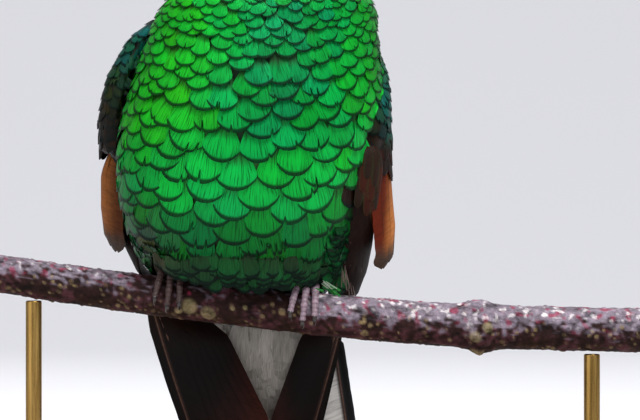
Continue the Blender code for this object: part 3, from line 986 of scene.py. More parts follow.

# %% [markdown]
# Structural green is half a metal: it has a tinted shine. Barbs are drawn as stripes of noise along the
# vane, the fluffy root is dusky, and toward the rim the green turns to teal as a painted sheen, before a
# dark fringe that is partly the feather's own dark edge and partly painted shadow of the rim.

# %% The finish of a green feather


def plumage_material():
    chain = Chain("plumage", Roughness=0.42, Metallic=0.45, Specular_IOR_Level=0.15)
    own, luck = chain.vane(), chain.luck()
    line = chain.math("ADD", chain.math("MULTIPLY", own["X"], 15.0), chain.math("MULTIPLY", luck, 40.0))
    barb = chain.noise(2.2, 2.0, chain.vector(line, chain.math("MULTIPLY", own["Y"], 0.7), luck), 0.6)
    groove = chain.ramp(barb, (0.36, 0.30), (0.47, 0.86), (0.62, 1.0))
    base = chain.times(chain.plume(), groove)
    root = chain.ramp(own["Y"], (0.22, 0.0), (0.5, 1.0))
    base = chain.mix(root, chain.mix(0.8, base, linear(40, 34, 30)), base)
    rim = chain.math("ADD", own["Y"], chain.math("MULTIPLY", chain.math("SUBTRACT", barb, 0.5), 0.08))
    # A painted teal sheen toward each feather's rim.
    painted_rim_sheen = chain.math("MULTIPLY", chain.ramp(rim, (0.70, 0.0), (0.86, 1.0)), 0.35)
    base = chain.mix(painted_rim_sheen, base, chain.times(base, linear(70, 215, 255)))
    # A dark band at the rim: partly the feather's own dark edge, partly painted shadow under its rim.
    dark_fringe_and_painted_shadow = chain.math("MULTIPLY", chain.ramp(rim, (0.885, 0.0), (0.935, 1.0)), 0.9)
    chain.show(Base_Color=chain.mix(dark_fringe_and_painted_shadow, base, linear(3, 20, 18)))
    chain.bump(groove, 0.5, 0.00006)
    return chain


PLUMAGE = plumage_material()
print("finish:", PLUMAGE.material.name)

# %% [markdown]
# Breast and belly are seen closest and get the finest sheets; head, wings and back do with fewer points.

# %% The coat, piece by piece


def coat_parts():
    """The coat in pieces of a manageable size, each with sheets as fine as its feathers are large."""
    p = local(ROOTS)
    head = head_share(ROOTS) > 0.5
    front = p[:, 1] < 1.5
    vent = ~ARM & (p[:, 2] < 2.2) & (p[:, 1] > 0.5) & (p[:, 1] < 12.5)
    lie = feather_lie(ROOTS, OUTWARD, ARM)
    colours = per_feather(ROOTS, ARM, RNG)
    arm = Lie(9, 5, 0.6, 1.75, 1.12, tip=0.46, slope=0.10, wander=0.1)
    low = p[:, 2] <= 11.0
    groups = (("coat_breast", ~ARM & ~head & front & ~low, Lie(27, 5, 0.8, 1.3, 1.1)),
              ("coat_belly", ~ARM & ~vent & front & low, Lie(27, 5, 6.0, 1.4, 0.9, wander=0.16)),
              ("coat_back", ~ARM & ~head & ~vent & ~front, Lie(13, 4, 0.6, 1.3)),
              ("coat_vent", vent, Lie(13, 4, 1.0, 1.3, wander=0.2)),
              ("coat_head", ~ARM & head, Lie(9, 4, 0.2, 1.6, 1.4, slope=0.24, fray=0.002)),
              ("coat_wing_right", ARM & (p[:, 0] < 0.0), arm),
              ("coat_wing_left", ARM & (p[:, 0] >= 0.0), arm))
    made = []
    for name, at, cut in groups:
        piece = contour_feathers(name, GROUND, ROOTS[at], OUTWARD[at], lie[at], WIDTH[at], colours[at], cut,
                                 RNG)
        wear(piece, PLUMAGE)
        made.append(piece)
        print(name, "feathers:", int(at.sum()), "faces:", len(piece.data.polygons))
    return made


COAT = coat_parts()
VENT = next(piece for piece in COAT if piece.name == "coat_vent")

# %% [markdown]
# Wing and tail quills are each made on their own: a stiff shaft with a narrow outer and a broad inner web,
# curved across like a gutter and closed to a round tip. They lie on curved shells that hang from the
# wings, the outermost quill nearest the breast, and each next one a little behind it.

# %% Flight feathers of the wings, and the tail
# Each row of a shell: its height, then x and y of its front edge, of its bulge and of its rear edge.
SHELLS = {
    "wing_right_secondaries": (
        (5.6, -14.1, 6.0, -15.3, 8.5, -14.6, 9.6), (6.4, -13.6, 4.8, -15.7, 8.2, -14.0, 10.4),
        (8.0, -13.7, 3.9, -16.4, 7.6, -13.2, 11.2), (11.0, -14.2, 3.5, -16.7, 7.0, -12.4, 11.8),
        (17.0, -15.0, 3.2, -16.5, 6.4, -11.4, 11.4)),
    "wing_right_primaries": (
        (-27.8, -2.4, 11.2, -2.0, 11.0, -1.6, 11.4), (-26.0, -3.8, 10.6, -1.8, 10.3, -0.2, 11.0),
        (-20.0, -6.1, 8.8, -2.8, 8.4, 0.4, 9.8), (-12.7, -8.2, 6.6, -3.2, 6.2, 1.7, 7.4),
        (-3.3, -10.8, 4.4, -6.8, 4.6, -2.8, 6.0), (1.5, -11.9, 3.9, -10.6, 5.6, -8.6, 8.2),
        (4.0, -12.8, 4.1, -12.7, 6.2, -12.0, 8.8), (7.0, -13.3, 5.2, -14.0, 7.0, -13.6, 9.0),
        (12.0, -13.9, 5.4, -15.1, 7.0, -15.0, 8.8), (17.0, -14.3, 4.9, -15.4, 6.6, -15.6, 8.4)),
    "wing_left_secondaries": (
        (3.8, 14.4, 0.8, 14.9, 1.4, 14.6, 2.1), (5.5, 13.7, -1.2, 16.0, 2.0, 13.8, 5.4),
        (9.0, 13.3, -2.3, 16.2, 2.4, 12.8, 8.0), (13.0, 13.8, -2.6, 15.8, 2.2, 12.0, 9.0),
        (17.0, 14.2, -2.4, 15.3, 2.0, 11.0, 9.4)),
    "wing_left_primaries": (
        (-27.8, 3.6, 12.4, 3.2, 12.2, 2.8, 12.6), (-26.0, 4.9, 11.8, 3.4, 11.4, 2.0, 12.2),
        (-20.0, 6.4, 9.6, 4.0, 9.6, 1.6, 11.0), (-12.7, 7.9, 7.4, 5.2, 7.2, 2.6, 8.8),
        (-3.3, 10.1, 4.4, 8.3, 4.6, 6.0, 6.6), (1.5, 10.4, 3.2, 11.8, 5.0, 11.4, 7.2),
        (4.0, 10.2, 2.0, 12.4, 4.2, 12.6, 7.0), (7.0, 10.8, -0.8, 12.8, 0.2, 13.3, 1.8),
        (12.0, 11.7, -3.2, 13.3, -2.8, 14.0, -2.0), (17.0, 12.3, -4.3, 13.7, -4.0, 14.6, -3.0)),
    "tail": (
        (-26.4, -3.4, 16.6, 3.5, 17.0, 10.4, 16.6), (-25.2, -5.6, 16.2, 3.4, 16.8, 12.5, 16.2),
        (-13.0, -6.6, 13.7, 2.6, 14.3, 12.3, 13.7), (-4.0, -7.2, 12.0, 1.8, 12.8, 11.0, 12.0),
        (0.0, -4.6, 11.2, 0.8, 11.8, 6.4, 11.2)),
}
HALF_WEB = (0.06, 0.16, 0.34, 0.52, 0.7, 0.86, 1.0)
WEB_COLUMNS = np.array([-step for step in HALF_WEB[::-1]] + [0.0] + list(HALF_WEB))
WEB_ROWS = 40
STACK = 0.075 * MM
SHAFT_WIDTH = 0.05


def shell_point(rows, share, height):
    """Points on a shell: share runs from 0 at its front edge to 1 at its rear edge."""
    table = np.array(rows)
    height = np.asarray(height)
    level = np.clip(height, table[0, 0], table[-1, 0])
    values = [np.interp(level, table[:, 0], table[:, k]) for k in range(1, 7)]
    front, bulge, rear = (np.stack(values[k:k + 2], axis=-1) for k in (0, 2, 4))
    pull = bulge * 2.0 - (front + rear) / 2.0
    t = np.asarray(share)[..., None]
    flat = front * (1.0 - t) ** 2 + pull * 2.0 * t * (1.0 - t) + rear * t ** 2
    return np.concatenate([flat, height[..., None] + 0.0 * t], axis=-1) * MM + np.array(PERCH_ZERO)


print("shells:", list(SHELLS))

# %% [markdown]
# A quill runs down its shell from a root to a tip. Its webs taper to the tip in a quarter circle, the shaft
# stands up as a ridge, and a few barbs at the rim are out of line, as on any worn feather.

# %% One quill after another


class Quill:
    """One flight feather.

    top and tip are heights, start and end the shares of the shell's width where the shaft begins and ends,
    bend how late it swings from one to the other, low and high the widths of the webs before and after the
    shaft in mm, layer the place in the stack, point the tip's length in widths, and sunk how far its root
    dips under what lies above it, in mm.
    """

    def __init__(self, top, tip, start, end, bend, low, high, layer, point=1.0, sunk=1.2):
        self.top, self.tip, self.start, self.end, self.bend = top, tip, start, end, bend
        self.low, self.high, self.layer, self.point, self.sunk = low, high, layer, point, sunk


def quill_sheets(name, shell, quills, outward, colour, rng):
    """One mesh of quills on a shell; outward is 1 or -1 for the side of the shell that they face."""
    rows = SHELLS[shell]
    across, along = np.meshgrid(WEB_COLUMNS, np.linspace(0.0, 1.0, WEB_ROWS) ** 0.85)
    tops, colours, undersides = [], [], []
    for quill in quills:
        height = quill.top + (quill.tip - quill.top) * along
        centre = quill.start + (quill.end - quill.start) * along ** quill.bend
        web = np.where(across < 0.0, quill.low, quill.high)
        left = (1.0 - along) * (quill.top - quill.tip) / (quill.point * max(quill.low, quill.high))
        left = np.clip(left, 0.0, 1.0)
        taper = np.sqrt(1.0 - (1.0 - left) ** 2) * (0.55 + 0.45 * smooth_step(0.0, 0.25, along))
        nick = rng.normal(0.0, 0.014, across.shape) * (np.abs(across) > 0.99)
        away = across * web * (taper + nick * (taper > 0.2) + 0.004)
        step = 0.02
        run = shell_point(rows, centre + step, height) - shell_point(rows, centre - step, height)
        stretch = np.linalg.norm(run, axis=-1) / (2.0 * step * MM)
        share = np.clip(centre + away / np.maximum(stretch, 1.2), -0.04, 1.04)
        place = shell_point(rows, share, height)
        down = shell_point(rows, centre, height - 0.5) - shell_point(rows, centre, height + 0.5)
        out = unit(np.cross(run, down)) * outward
        round_shaft = np.exp(-(across / 0.07) ** 2) * (1.05 - along)
        lift = STACK * quill.layer - 0.07 * MM * across ** 2 * web + 0.06 * MM * round_shaft
        lift -= quill.sunk * MM * smooth_step(min(0.7, 4.5 / (quill.top - quill.tip)), 0.0, along)
        tops.append(place + out * lift[..., None])
        undersides.append(out * (0.08 + 0.20 * round_shaft)[..., None] * MM)
        shade = colour(local(place), across, along, quill)
        colours.append(np.clip(shade * rng.uniform(0.9, 1.1), 0.0, 1.0))
    tops, colours, undersides = np.array(tops), np.array(colours), np.array(undersides)
    if outward < 0:
        tops, colours, undersides = (values[:, :, ::-1] for values in (tops, colours, undersides))
        across = across[:, ::-1]
    count = len(quills)
    strip = vane_pairs(across, along)
    bake = np.stack([(strip * 0.96 + 0.02 + (k, 0.0)) / (count, 1.0) for k in range(count)])
    return make_sheets(name, tops, undersides, across, along, rng.random(count),
                       colours.reshape(count, -1, 3), bake)


WING_BROWN = (34, 20, 15)
WING_BLACK = (15, 11, 11)
SHAFT_TAN = (150, 112, 96)
RUFOUS = (88, 30, 6)
CINNAMON = (176, 108, 54)
CINNAMON_SHADE = (84, 46, 22)
TIP_DUSK = (72, 56, 46)
RED_BROWN = (88, 40, 28)
TAIL_BLACK = (24, 24, 26)
TAIL_WHITE = (226, 226, 222)
TAIL_BRONZE = (40, 52, 34)


def shaft(across):
    return np.exp(-(across / SHAFT_WIDTH) ** 2)


def primary_colour(p, across, along, quill):
    return laid(flat_colour(WING_BROWN, across.shape),
                (WING_BLACK, smooth_step(0.0, -6.0, p[..., 2]) * 0.9),
                (RED_BROWN, smooth_step(-0.2, 0.9, across) * smooth_step(0.62, 0.95, along) * 0.5),
                (SHAFT_TAN, shaft(across) * (0.75 - 0.68 * along)))


def secondary_colour(p, across, along, quill):
    """Rufous with a cinnamon outer strip on one wing; cinnamon, browner to the inside, on the other."""
    x = p[..., 0]
    if x.mean() > 0.0:
        strip = smooth_step(14.9, 16.1, x - 0.05 * (p[..., 2] - 10.0))
        base = laid(flat_colour(RUFOUS, x.shape), (CINNAMON, 0.95 * strip))
    else:
        shade = smooth_step(-16.4, -14.9, x)
        base = laid(flat_colour(CINNAMON, x.shape), (CINNAMON_SHADE, 0.5 + 0.5 * shade))
    return laid(base, (TIP_DUSK, smooth_step(0.76, 0.95, along)), (WING_BROWN, shaft(across) * 0.5))


def tail_colour(p, across, along, quill):
    """White inner webs on the outer quills, which meet as stripes on the closed tail's underside."""
    white = (0.0, 0.0, 0.75, 1.0, 1.0)[int(-quill.layer)]
    inward = across if quill.high > quill.low else -across
    web = smooth_step(0.06, 0.18, inward) * smooth_step(1.0, 0.9, inward) * smooth_step(1.0, 0.9, along)
    return laid(flat_colour(TAIL_BLACK, across.shape), (TAIL_WHITE, white * web),
                (TAIL_BRONZE, 0.6 * (quill.layer > -1.0)), (SHAFT_TAN, shaft(across) * 0.4))


def covert_colour(p, across, along, quill):
    teal = smooth_step(17.0, 20.5, p[..., 2]) * smooth_step(13.8, 15.0, p[..., 0])
    return laid(flat_colour(ARM_BROWN, across.shape), (WING_BLACK, 0.6 * smooth_step(0.4, 0.9, along)),
                (ARM_TEAL, 0.7 * teal),
                (RUFOUS, 0.3 * smooth_step(0.5, 1.0, np.abs(across)) * (p[..., 0] > 0.0)))


def root_covert_colour(p, across, along, quill):
    """Every other covert is a little redder than its neighbours."""
    redder = int(quill.start * 10.0) % 2
    return laid(flat_colour(ARM_BROWN, across.shape), (RUFOUS, 0.3 * redder + 0.0 * across),
                (ARM_OLIVE, 0.4 * smooth_step(0.6, 1.0, np.abs(across)) * smooth_step(0.3, 0.6, along)))


print("shaft at its middle and beside it:", shaft(np.array((0.0, 0.1))).round(2))

# %% [markdown]
# The barbs of a quill leave the shaft at a slant, the same on both webs, and have no metal in them.

# %% The finish of quills


def quill_material(name, rough, shine):
    chain = Chain(name, Roughness=rough, Specular_IOR_Level=shine)
    own = chain.vane()
    side = chain.math("ABSOLUTE", chain.math("SUBTRACT", own["X"], 0.5))
    slant = chain.math("ADD", chain.math("MULTIPLY", own["Y"], 60.0), chain.math("MULTIPLY", side, -5.0))
    barb = chain.noise(1.6, 3.0, chain.vector(slant, side, chain.luck()), 0.65)
    groove = chain.ramp(barb, (0.3, 0.55), (0.5, 0.95), (0.7, 1.15))
    chain.show(Base_Color=chain.times(chain.plume(), groove))
    chain.bump(barb, 0.35, 0.00006)
    return chain


WING_BARBS, TAIL_BARBS = quill_material("wing_quills", 0.6, 0.12), quill_material("tail_quills", 0.5, 0.2)
print("finishes of quills:", WING_BARBS.material.name, TAIL_BARBS.material.name)

# %% [markdown]
# A wing has ten primaries on the hand, the first of them the longest, and fewer secondaries on the arm,
# with coverts over their roots. The tail has ten feathers, the middle pair on top. Each quill's place is
# worked out from its number.

# %% Where every quill lies


def primaries():
    quills = []
    for k in range(10):
        part = k / 9.0
        quills.append(Quill(19.0 - 1.2 * part, -27.6 + 15.5 * part ** 1.1, 0.10 + 0.75 * part,
                            min(0.86, 0.38 + part), 6.0 - 4.0 * part, 1.0, 2.4, k - 5.0, 1.5))
    return quills


def secondaries(raised):
    quills = []
    for k, tip in enumerate((5.8, 5.9, 6.6, 7.5, 8.8, 10.2, 11.8)):
        part = k / 6.0
        quills.append(Quill(18.6, tip - raised, 0.10 + 0.84 * part, 0.24 + 0.66 * part, 2.0, 1.3,
                            1.5 if k == 0 else 1.9, k - 3.0, 0.75))
    return quills


def long_coverts(lowest):
    """Three rows of larger coverts that hide the roots of the secondaries, the upper rows shorter."""
    quills = []
    for row in range(3):
        for k in range(9):
            tip = lowest + 1.7 * row + 0.3 * abs(k - 3) + 0.8 * (k % 2)
            quills.append(Quill(20.0 + 0.8 * row, tip, 0.10 + 0.85 * k / 8.0, 0.12 + 0.82 * k / 8.0, 1.0,
                                1.2 - 0.2 * row, 1.4 - 0.2 * row, 2.0 + 0.2 * k + 1.3 * row, 1.7, 1.6))
    return quills


def root_coverts(lowest):
    """Small coverts over the roots of the primaries."""
    quills = []
    for k in range(9):
        tip = lowest + 1.9 * (k % 3) - 0.3 * k
        quills.append(Quill(19.5 + 0.5 * (k % 2), tip, 0.05 + 0.9 * k / 8.0, 0.08 + 0.84 * k / 8.0, 1.0,
                            0.5, 0.6, 4.0 + 0.7 * (k % 3), 2.2, 1.5))
    return quills


def tail_quills():
    """The outermost feathers are the lowest in the stack and have the narrowest outer webs."""
    quills = []
    for k in range(10):
        share = 0.065 + 0.87 * k / 9.0
        outer = int(abs(k - 4.5))
        edge = 1.05 if outer == 4 else 1.9
        webs = (edge, 3.1) if k < 5 else (3.1, edge)
        quills.append(Quill(1.5, -26.3 + 0.25 * (4 - outer), 0.5 + (share - 0.5) * 0.95, share, 1.0, *webs,
                            -float(outer), 0.8))
    return quills


print("tips of the primaries, mm:", [round(quill.tip, 1) for quill in primaries()])

# %% [markdown]
# Both wings use the same lists. The left one is folded a little lower, so its quills are longer.

# %% Wings and tail


def make_quills():
    plans = [("tail", "tail", tail_quills(), 1, tail_colour, TAIL_BARBS)]
    for side, outward, raised, lowest in (("right", 1, 0.0, 16.0), ("left", -1, 1.8, 13.6)):
        hand, arm = f"wing_{side}_primaries", f"wing_{side}_secondaries"
        plans += [(hand, hand, primaries(), outward, primary_colour, WING_BARBS),
                  (arm, arm, secondaries(raised), outward, secondary_colour, WING_BARBS),
                  (f"wing_{side}_long_coverts", arm, long_coverts(lowest), outward, covert_colour,
                   WING_BARBS),
                  (f"wing_{side}_root_coverts", hand, root_coverts(11.0), outward, root_covert_colour,
                   WING_BARBS)]
    made = {}
    for name, shell, quills, outward, colour, material in plans:
        piece = quill_sheets(name + "_feathers", shell, quills, outward, colour, RNG)
        wear(piece, material)
        made[name] = piece
        print(piece.name, "quills:", len(quills), "faces:", len(piece.data.polygons))
    return made


QUILLS = make_quills()

# %% [markdown]
# Bill, toes and twig are all long round things. Each is built from rings of points along its line, joined
# into a tube and closed at both ends, and its rings give it a flat map too: along it one way, round it the
# other.

# %% Tubes of rings


def smooth_rows(rows, level):
    """Values at these levels, on a smooth curve through rows sorted by their first number."""
    table = np.array(rows, dtype=float)
    slope = np.gradient(table[:, 1:], table[:, 0], axis=0)
    level = np.clip(np.asarray(level, dtype=float), table[0, 0], table[-1, 0])
    low = np.clip(np.searchsorted(table[:, 0], level, side="right") - 1, 0, len(table) - 2)
    span = (table[low + 1, 0] - table[low, 0])[..., None]
    t = (level - table[low, 0])[..., None] / span
    return ((2 * t**3 - 3 * t**2 + 1) * table[low, 1:] + (t**3 - 2 * t**2 + t) * slope[low] * span
            + (3 * t**2 - 2 * t**3) * table[low + 1, 1:] + (t**3 - t**2) * slope[low + 1] * span)


print("half way between 0 and 1 on a smooth curve:", smooth_rows(((0.0, 0.0), (1.0, 1.0)), 0.5))

# %% [markdown]
# A piece made from bare points has to end up closed and the right way out. The sign of its volume tells
# which way its faces point, and a wrong one is turned over.

# %% Closed pieces


def closed_piece(name, points, faces, corners, colours):
    """A closed mesh with a flat map and a colour for each point, and with its faces turned outward."""
    mesh = bpy.data.meshes.new(name)
    mesh.from_pydata(points.tolist(), [], faces)
    mesh.uv_layers.new(name="OFBake").data.foreach_set("uv", np.array(corners).ravel())
    obj = bpy.data.objects.new(name, mesh)
    SCENE.collection.objects.link(obj)
    shape = bmesh.new()
    shape.from_mesh(mesh)
    if shape.calc_volume(signed=True) < 0.0:
        bmesh.ops.reverse_faces(shape, faces=shape.faces)
        shape.to_mesh(mesh)
    shape.free()
    paint(obj, "Plume", colours)
    soften(obj)
    return obj


def ring_tube(name, rings, colours):
    """A closed tube through rings, an array of (rings, points around, 3), with a point in each end."""
    count, around = rings.shape[:2]
    index = np.arange(count * around).reshape(count, around)
    following = np.roll(index, -1, axis=1)
    walls = np.stack([index[:-1], following[:-1], following[1:], index[1:]], axis=-1).reshape(-1, 4)
    first, last = count * around, count * around + 1
    caps = [(first, following[0][k], index[0][k]) for k in range(around)]
    caps += [(last, index[-1][k], following[-1][k]) for k in range(around)]
    u, v = np.meshgrid(np.linspace(0.02, 0.98, count), np.linspace(0.02, 0.98, around + 1), indexing="ij")
    corners = [(u[a, b], v[a, b]) for i in range(count - 1) for k in range(around)
               for a, b in ((i, k), (i, k + 1), (i + 1, k + 1), (i + 1, k))]
    for end, edge, turn in ((0, 0.0, -1), (count - 1, 1.0, 1)):
        for k in range(around):
            pair = [(u[end, k], v[end, k]), (u[end, k + 1], v[end, k + 1])]
            corners += [(edge, v[end, k])] + pair[::turn]

    def with_ends(values):
        return np.concatenate([values.reshape(-1, 3), values[[0, -1]].mean(axis=1)])

    return closed_piece(name, with_ends(rings), walls.tolist() + caps, corners, with_ends(colours))


def ring_loop(name, rings, colours):
    """A ring of flesh: the last ring of points is joined to the first, so that it has no ends."""
    count, around = rings.shape[:2]
    index = np.arange(count * around).reshape(count, around)
    after, following = np.roll(index, -1, axis=0), np.roll(index, -1, axis=1)
    walls = np.stack([index, following, np.roll(following, -1, axis=0), after], axis=-1).reshape(-1, 4)
    i, k = np.meshgrid(np.arange(count), np.arange(around), indexing="ij")
    corners = np.stack([np.stack([(i + a) / count, (k + b) / around], axis=-1)
                        for a, b in ((0, 0), (0, 1), (1, 1), (1, 0))], axis=2)
    return closed_piece(name, rings.reshape(-1, 3), walls.tolist(), corners, colours.reshape(-1, 3))


def join(name, objects):
    """Joins objects into one piece, whose flat maps share the square side by side."""
    count = len(objects)
    for k, obj in enumerate(objects):
        layer = obj.data.uv_layers["OFBake"].data
        flat = np.empty(len(layer) * 2)
        layer.foreach_get("uv", flat)
        flat = flat.reshape(-1, 2)
        flat[:, 1] = (flat[:, 1] + k) / count
        layer.foreach_set("uv", flat.ravel())
    merge(objects[0], objects[1:])
    objects[0].name = name
    return objects[0]


def swept_rings(points, radii, around):
    """Round rings square to a line of points, carried along it without twist."""
    points = np.asarray(points, dtype=float)
    tangents = unit(np.gradient(points, axis=0))
    side = unit(np.cross(tangents[0], (0.31, 0.17, 0.93)))
    turns = np.arange(around) / around * math.tau
    rings = []
    for point, tangent, radius in zip(points, tangents, radii):
        side = unit(side - tangent * (side @ tangent))
        other = np.cross(tangent, side)
        rings.append(point + radius * (np.cos(turns)[:, None] * side + np.sin(turns)[:, None] * other))
    return np.array(rings)


print("rings, points and numbers:", swept_rings(((0.0, 0.0, 0.0), (1.0, 0.0, 0.0)), (1.0, 1.0), 6).shape)

# %% [markdown]
# The twig is a young shoot under a skin of warty bark. Its pores stand up as small rimmed warts, the upper
# side wears a crust of grey-lilac lichen with pale flakes and crimson spots, painted paler there as light
# from above, and the underside stays dark, partly as painted shade. At the knot a leaf has fallen and left a
# swelling. A fine tube carries all of it in relief.

# %% The twig
PERCH_ENDS = (-31.0, 47.0)
PERCH_LINE = ((-31.0, 4.1), (-12.7, 1.45), (0.0, 0.0), (5.6, -0.65), (20.0, -1.9), (47.0, -2.75))
PERCH_RADIUS = ((-31.0, 2.05), (0.0, 2.3), (20.0, 2.4), (47.0, 2.45))
KNOT_X = 25.6
BARK_DARK = (44, 28, 26)
BARK_PLUM = (84, 50, 56)
BARK_UNDER = (56, 42, 30)
LILAC_CRUST_AND_HIGHLIGHT = (134, 122, 134)
GREY_CRUST_AND_TOP_LIGHT = (120, 112, 124)
FLAKE_WHITE = (214, 206, 208)
CRIMSON = (138, 44, 70)
WART_TAN = (158, 136, 98)
LICHEN_YELLOW = (170, 156, 112)
WARTS = 760
LARGE_WARTS = 20
# Round patches of lichen: place along the twig, angle from its top to the front, and size.
LICHEN = ((-6.7, 1.9, 1.05), (-4.6, 2.15, 0.95), (-7.9, 2.2, 0.5), (-1.9, 1.75, 0.32), (-0.5, 1.65, 0.32),
          (25.0, 2.0, 0.8), (26.4, 1.6, 0.7), (25.2, 2.9, 0.9))
# A clean cut from its rim inward: share of the radius, how far it stands out, and bark, bast, wood or pith.
END_GRAIN = ((0.985, 0.10, BARK_DARK), (0.93, 0.16, BARK_PLUM), (0.90, 0.17, (120, 112, 70)),
             (0.84, 0.17, (196, 170, 126)), (0.62, 0.17, (186, 156, 110)), (0.58, 0.17, (150, 116, 76)),
             (0.54, 0.17, (190, 160, 114)), (0.2, 0.16, (184, 154, 110)), (0.12, 0.14, (96, 72, 50)))


def perch_height(x):
    return smooth_rows(PERCH_LINE, x)[..., 0]


def perch_radius(x):
    return smooth_rows(PERCH_RADIUS, x)[..., 0] + 0.5 * np.exp(-((np.asarray(x) - KNOT_X) / 1.7) ** 2)


def field(points, scale, seed=0.0):
    """Smooth noise of about -1 to 1 at these points, in millimetres."""
    shift = Vector((seed * 7.3, seed * 3.1, seed * 5.7))
    return np.array([noise.noise(Vector(point) * scale + shift) for point in points.tolist()])


print("twig thickness at the knot, mm:", round(2.0 * float(perch_radius(KNOT_X)), 2))

# %% [markdown]
# The crust is laid in the order in which it grows: bark, grey crust, lilac crust, crimson spots and pale
# flakes, each where a mask of painted light is high: bright on the top of the twig, as lit from above, and
# dim under the bird, as its painted shadow. Warts are domes with a sunk middle: pale or crimson above, tan
# below, and yellow where lichen has taken them over.

# %% Bark, lichen and warts


def bark_colour(plain, rise, coarse, fine, streak):
    """The crust, partly lichen and partly painted light, lies on the upper side and away from the painted
    shadow under the bird.
    """
    # A painted light mask: brighter on the upper side, as lit from above, and dimmer near the bird, as its
    # painted shadow.
    outside_bird_shadow = smooth_step(5.0, 8.0, plain[:, 0]) * 0.65 + smooth_step(-11.0, -16.0, plain[:, 0]) * 0.4
    light = np.clip(0.5 + 0.9 * rise + 0.45 * coarse, 0.0, 1.0) * (outside_bird_shadow + 0.35 + 0.1 * fine)
    spots, flakes = field(plain, 1.1, 4.0), field(plain, 1.5, 5.0)
    return laid(flat_colour(BARK_DARK, rise.shape),
                (BARK_UNDER, smooth_step(-0.2, -0.9, rise) * (0.5 + fine)),
                (BARK_PLUM, smooth_step(-0.1, 0.5, coarse + fine) * 0.7),
                (GREY_CRUST_AND_TOP_LIGHT, smooth_step(0.4, 0.85, light + 0.6 * fine) * 0.8),
                (LILAC_CRUST_AND_HIGHLIGHT, smooth_step(0.5, 0.95, light + 0.8 * streak) * 0.85),
                (CRIMSON, smooth_step(0.18, 0.42, spots) * smooth_step(0.3, 0.8, light) * 0.75),
                (FLAKE_WHITE, smooth_step(0.30, 0.45, flakes) * smooth_step(0.55, 0.9, light) * 0.9))


def wart_tint(number, centre):
    if number >= WARTS:
        return LICHEN_YELLOW
    upper = centre[2] > 0.6
    if upper and number % 3:
        return FLAKE_WHITE if centre[0] > 7.0 else BARK_PLUM
    return CRIMSON if upper and number % 2 else WART_TAN


def raise_warts(plain, relief, colour, rng):
    """Adds rimmed warts and patches of lichen to the relief and the colours of a straight twig."""
    along = rng.uniform(*PERCH_ENDS, WARTS)
    turn = rng.uniform(0.0, math.tau, WARTS)
    size = rng.uniform(0.14, 0.32, WARTS)
    size[:LARGE_WARTS] = rng.uniform(0.35, 0.55, LARGE_WARTS)
    along, turn, size = (np.append(own, added) for own, added in zip((along, turn, size), zip(*LICHEN)))
    radius = perch_radius(along)
    middles = xyz(along, -np.sin(turn) * radius, np.cos(turn) * radius)
    tree = KDTree(len(plain))
    for index, point in enumerate(plain.tolist()):
        tree.insert(point, index)
    tree.balance()
    for k, (centre, wide) in enumerate(zip(middles.tolist(), size)):
        near = tree.find_range(centre, 1.2 * wide)
        if not near:
            continue
        index = np.array([hit[1] for hit in near])
        reach = np.array([hit[2] for hit in near]) / wide
        dome = smooth_step(1.15, 0.35, reach)
        relief[index] += wide * 0.34 * dome * (1.0 - 0.35 * smooth_step(0.5, 0.0, reach))
        share = (0.45 if k % 2 or k >= WARTS else 0.2) * smooth_step(1.05, 0.6, reach)
        colour[index] = laid(colour[index], (wart_tint(k, centre), share))


print("warts:", WARTS, "lichen patches:", len(LICHEN))

# %% [markdown]
# Relief and colour are worked out on a straight twig, where distances are easy, and then bent with it.

# %% The twig's tube


def make_perch(rng):
    rings_along, around = 520, 96
    x, turn = np.meshgrid(np.linspace(*PERCH_ENDS, rings_along), np.arange(around) / around * math.tau,
                          indexing="ij")
    rise, front = np.cos(turn), np.sin(turn)
    plain = xyz(x, -front * perch_radius(x), rise * perch_radius(x)).reshape(-1, 3)
    coarse, fine = field(plain, 0.35), field(plain, 1.6, 1.0)
    streak = field(plain * (0.35, 1.0, 1.0), 2.2, 2.0)
    relief = 0.10 * coarse + 0.07 * fine + 0.04 * streak
    knot = np.exp(-((plain[:, 0] - KNOT_X) / 1.2) ** 2)
    relief += knot * (0.22 * field(plain, 0.9, 3.0) + 0.12 * fine)
    colour = bark_colour(plain, rise.ravel(), coarse, fine, streak)
    raise_warts(plain, relief, colour, rng)
    taper = np.minimum(x - PERCH_ENDS[0], PERCH_ENDS[1] - x).ravel()
    radius = (perch_radius(x).ravel() + relief * smooth_step(0.0, 0.6, taper)).reshape(x.shape)
    rings = xyz(x, -front * radius, rise * radius + perch_height(x))
    colour = colour.reshape(rings.shape)
    low, low_colour = end_grain(rings[0], -1.0)
    high, high_colour = end_grain(rings[-1], 1.0)
    rings = np.concatenate([low[::-1], rings, high])
    colour = np.concatenate([low_colour[::-1], colour, high_colour])
    return ring_tube("perch_bark", in_world(rings), colour)


def end_grain(rim, outward):
    """Rings across a clean cut, from the rim inward, and their colours."""
    middle = rim.mean(axis=0)
    rings = [middle + (rim - middle) * share + (outward * reach, 0.0, 0.0) for share, reach, _ in END_GRAIN]
    tints = [flat_colour(tint, rim.shape[:1]) for _, _, tint in END_GRAIN]
    return np.array(rings), np.array(tints)


def bark_material():
    chain = Chain("twig_bark", Roughness=0.78, Specular_IOR_Level=0.15)
    grain = chain.noise(1800.0, 5.0, None, 0.7)
    pits = chain.noise(750.0, 5.0, chain.stretch((0.55, 1.0, 1.0)), 0.65)
    tone = chain.times(chain.plume(), chain.ramp(grain, (0.3, 0.5), (0.5, 0.95), (0.72, 1.45)))
    chain.show(Base_Color=chain.times(tone, chain.ramp(pits, (0.36, 0.35), (0.47, 0.9), (0.62, 1.15))))
    chain.bump(chain.math("ADD", grain, pits), 0.7, 0.00016)
    return chain


PERCH = make_perch(RNG)
wear(PERCH, bark_material())
print("twig faces:", len(PERCH.data.polygons))

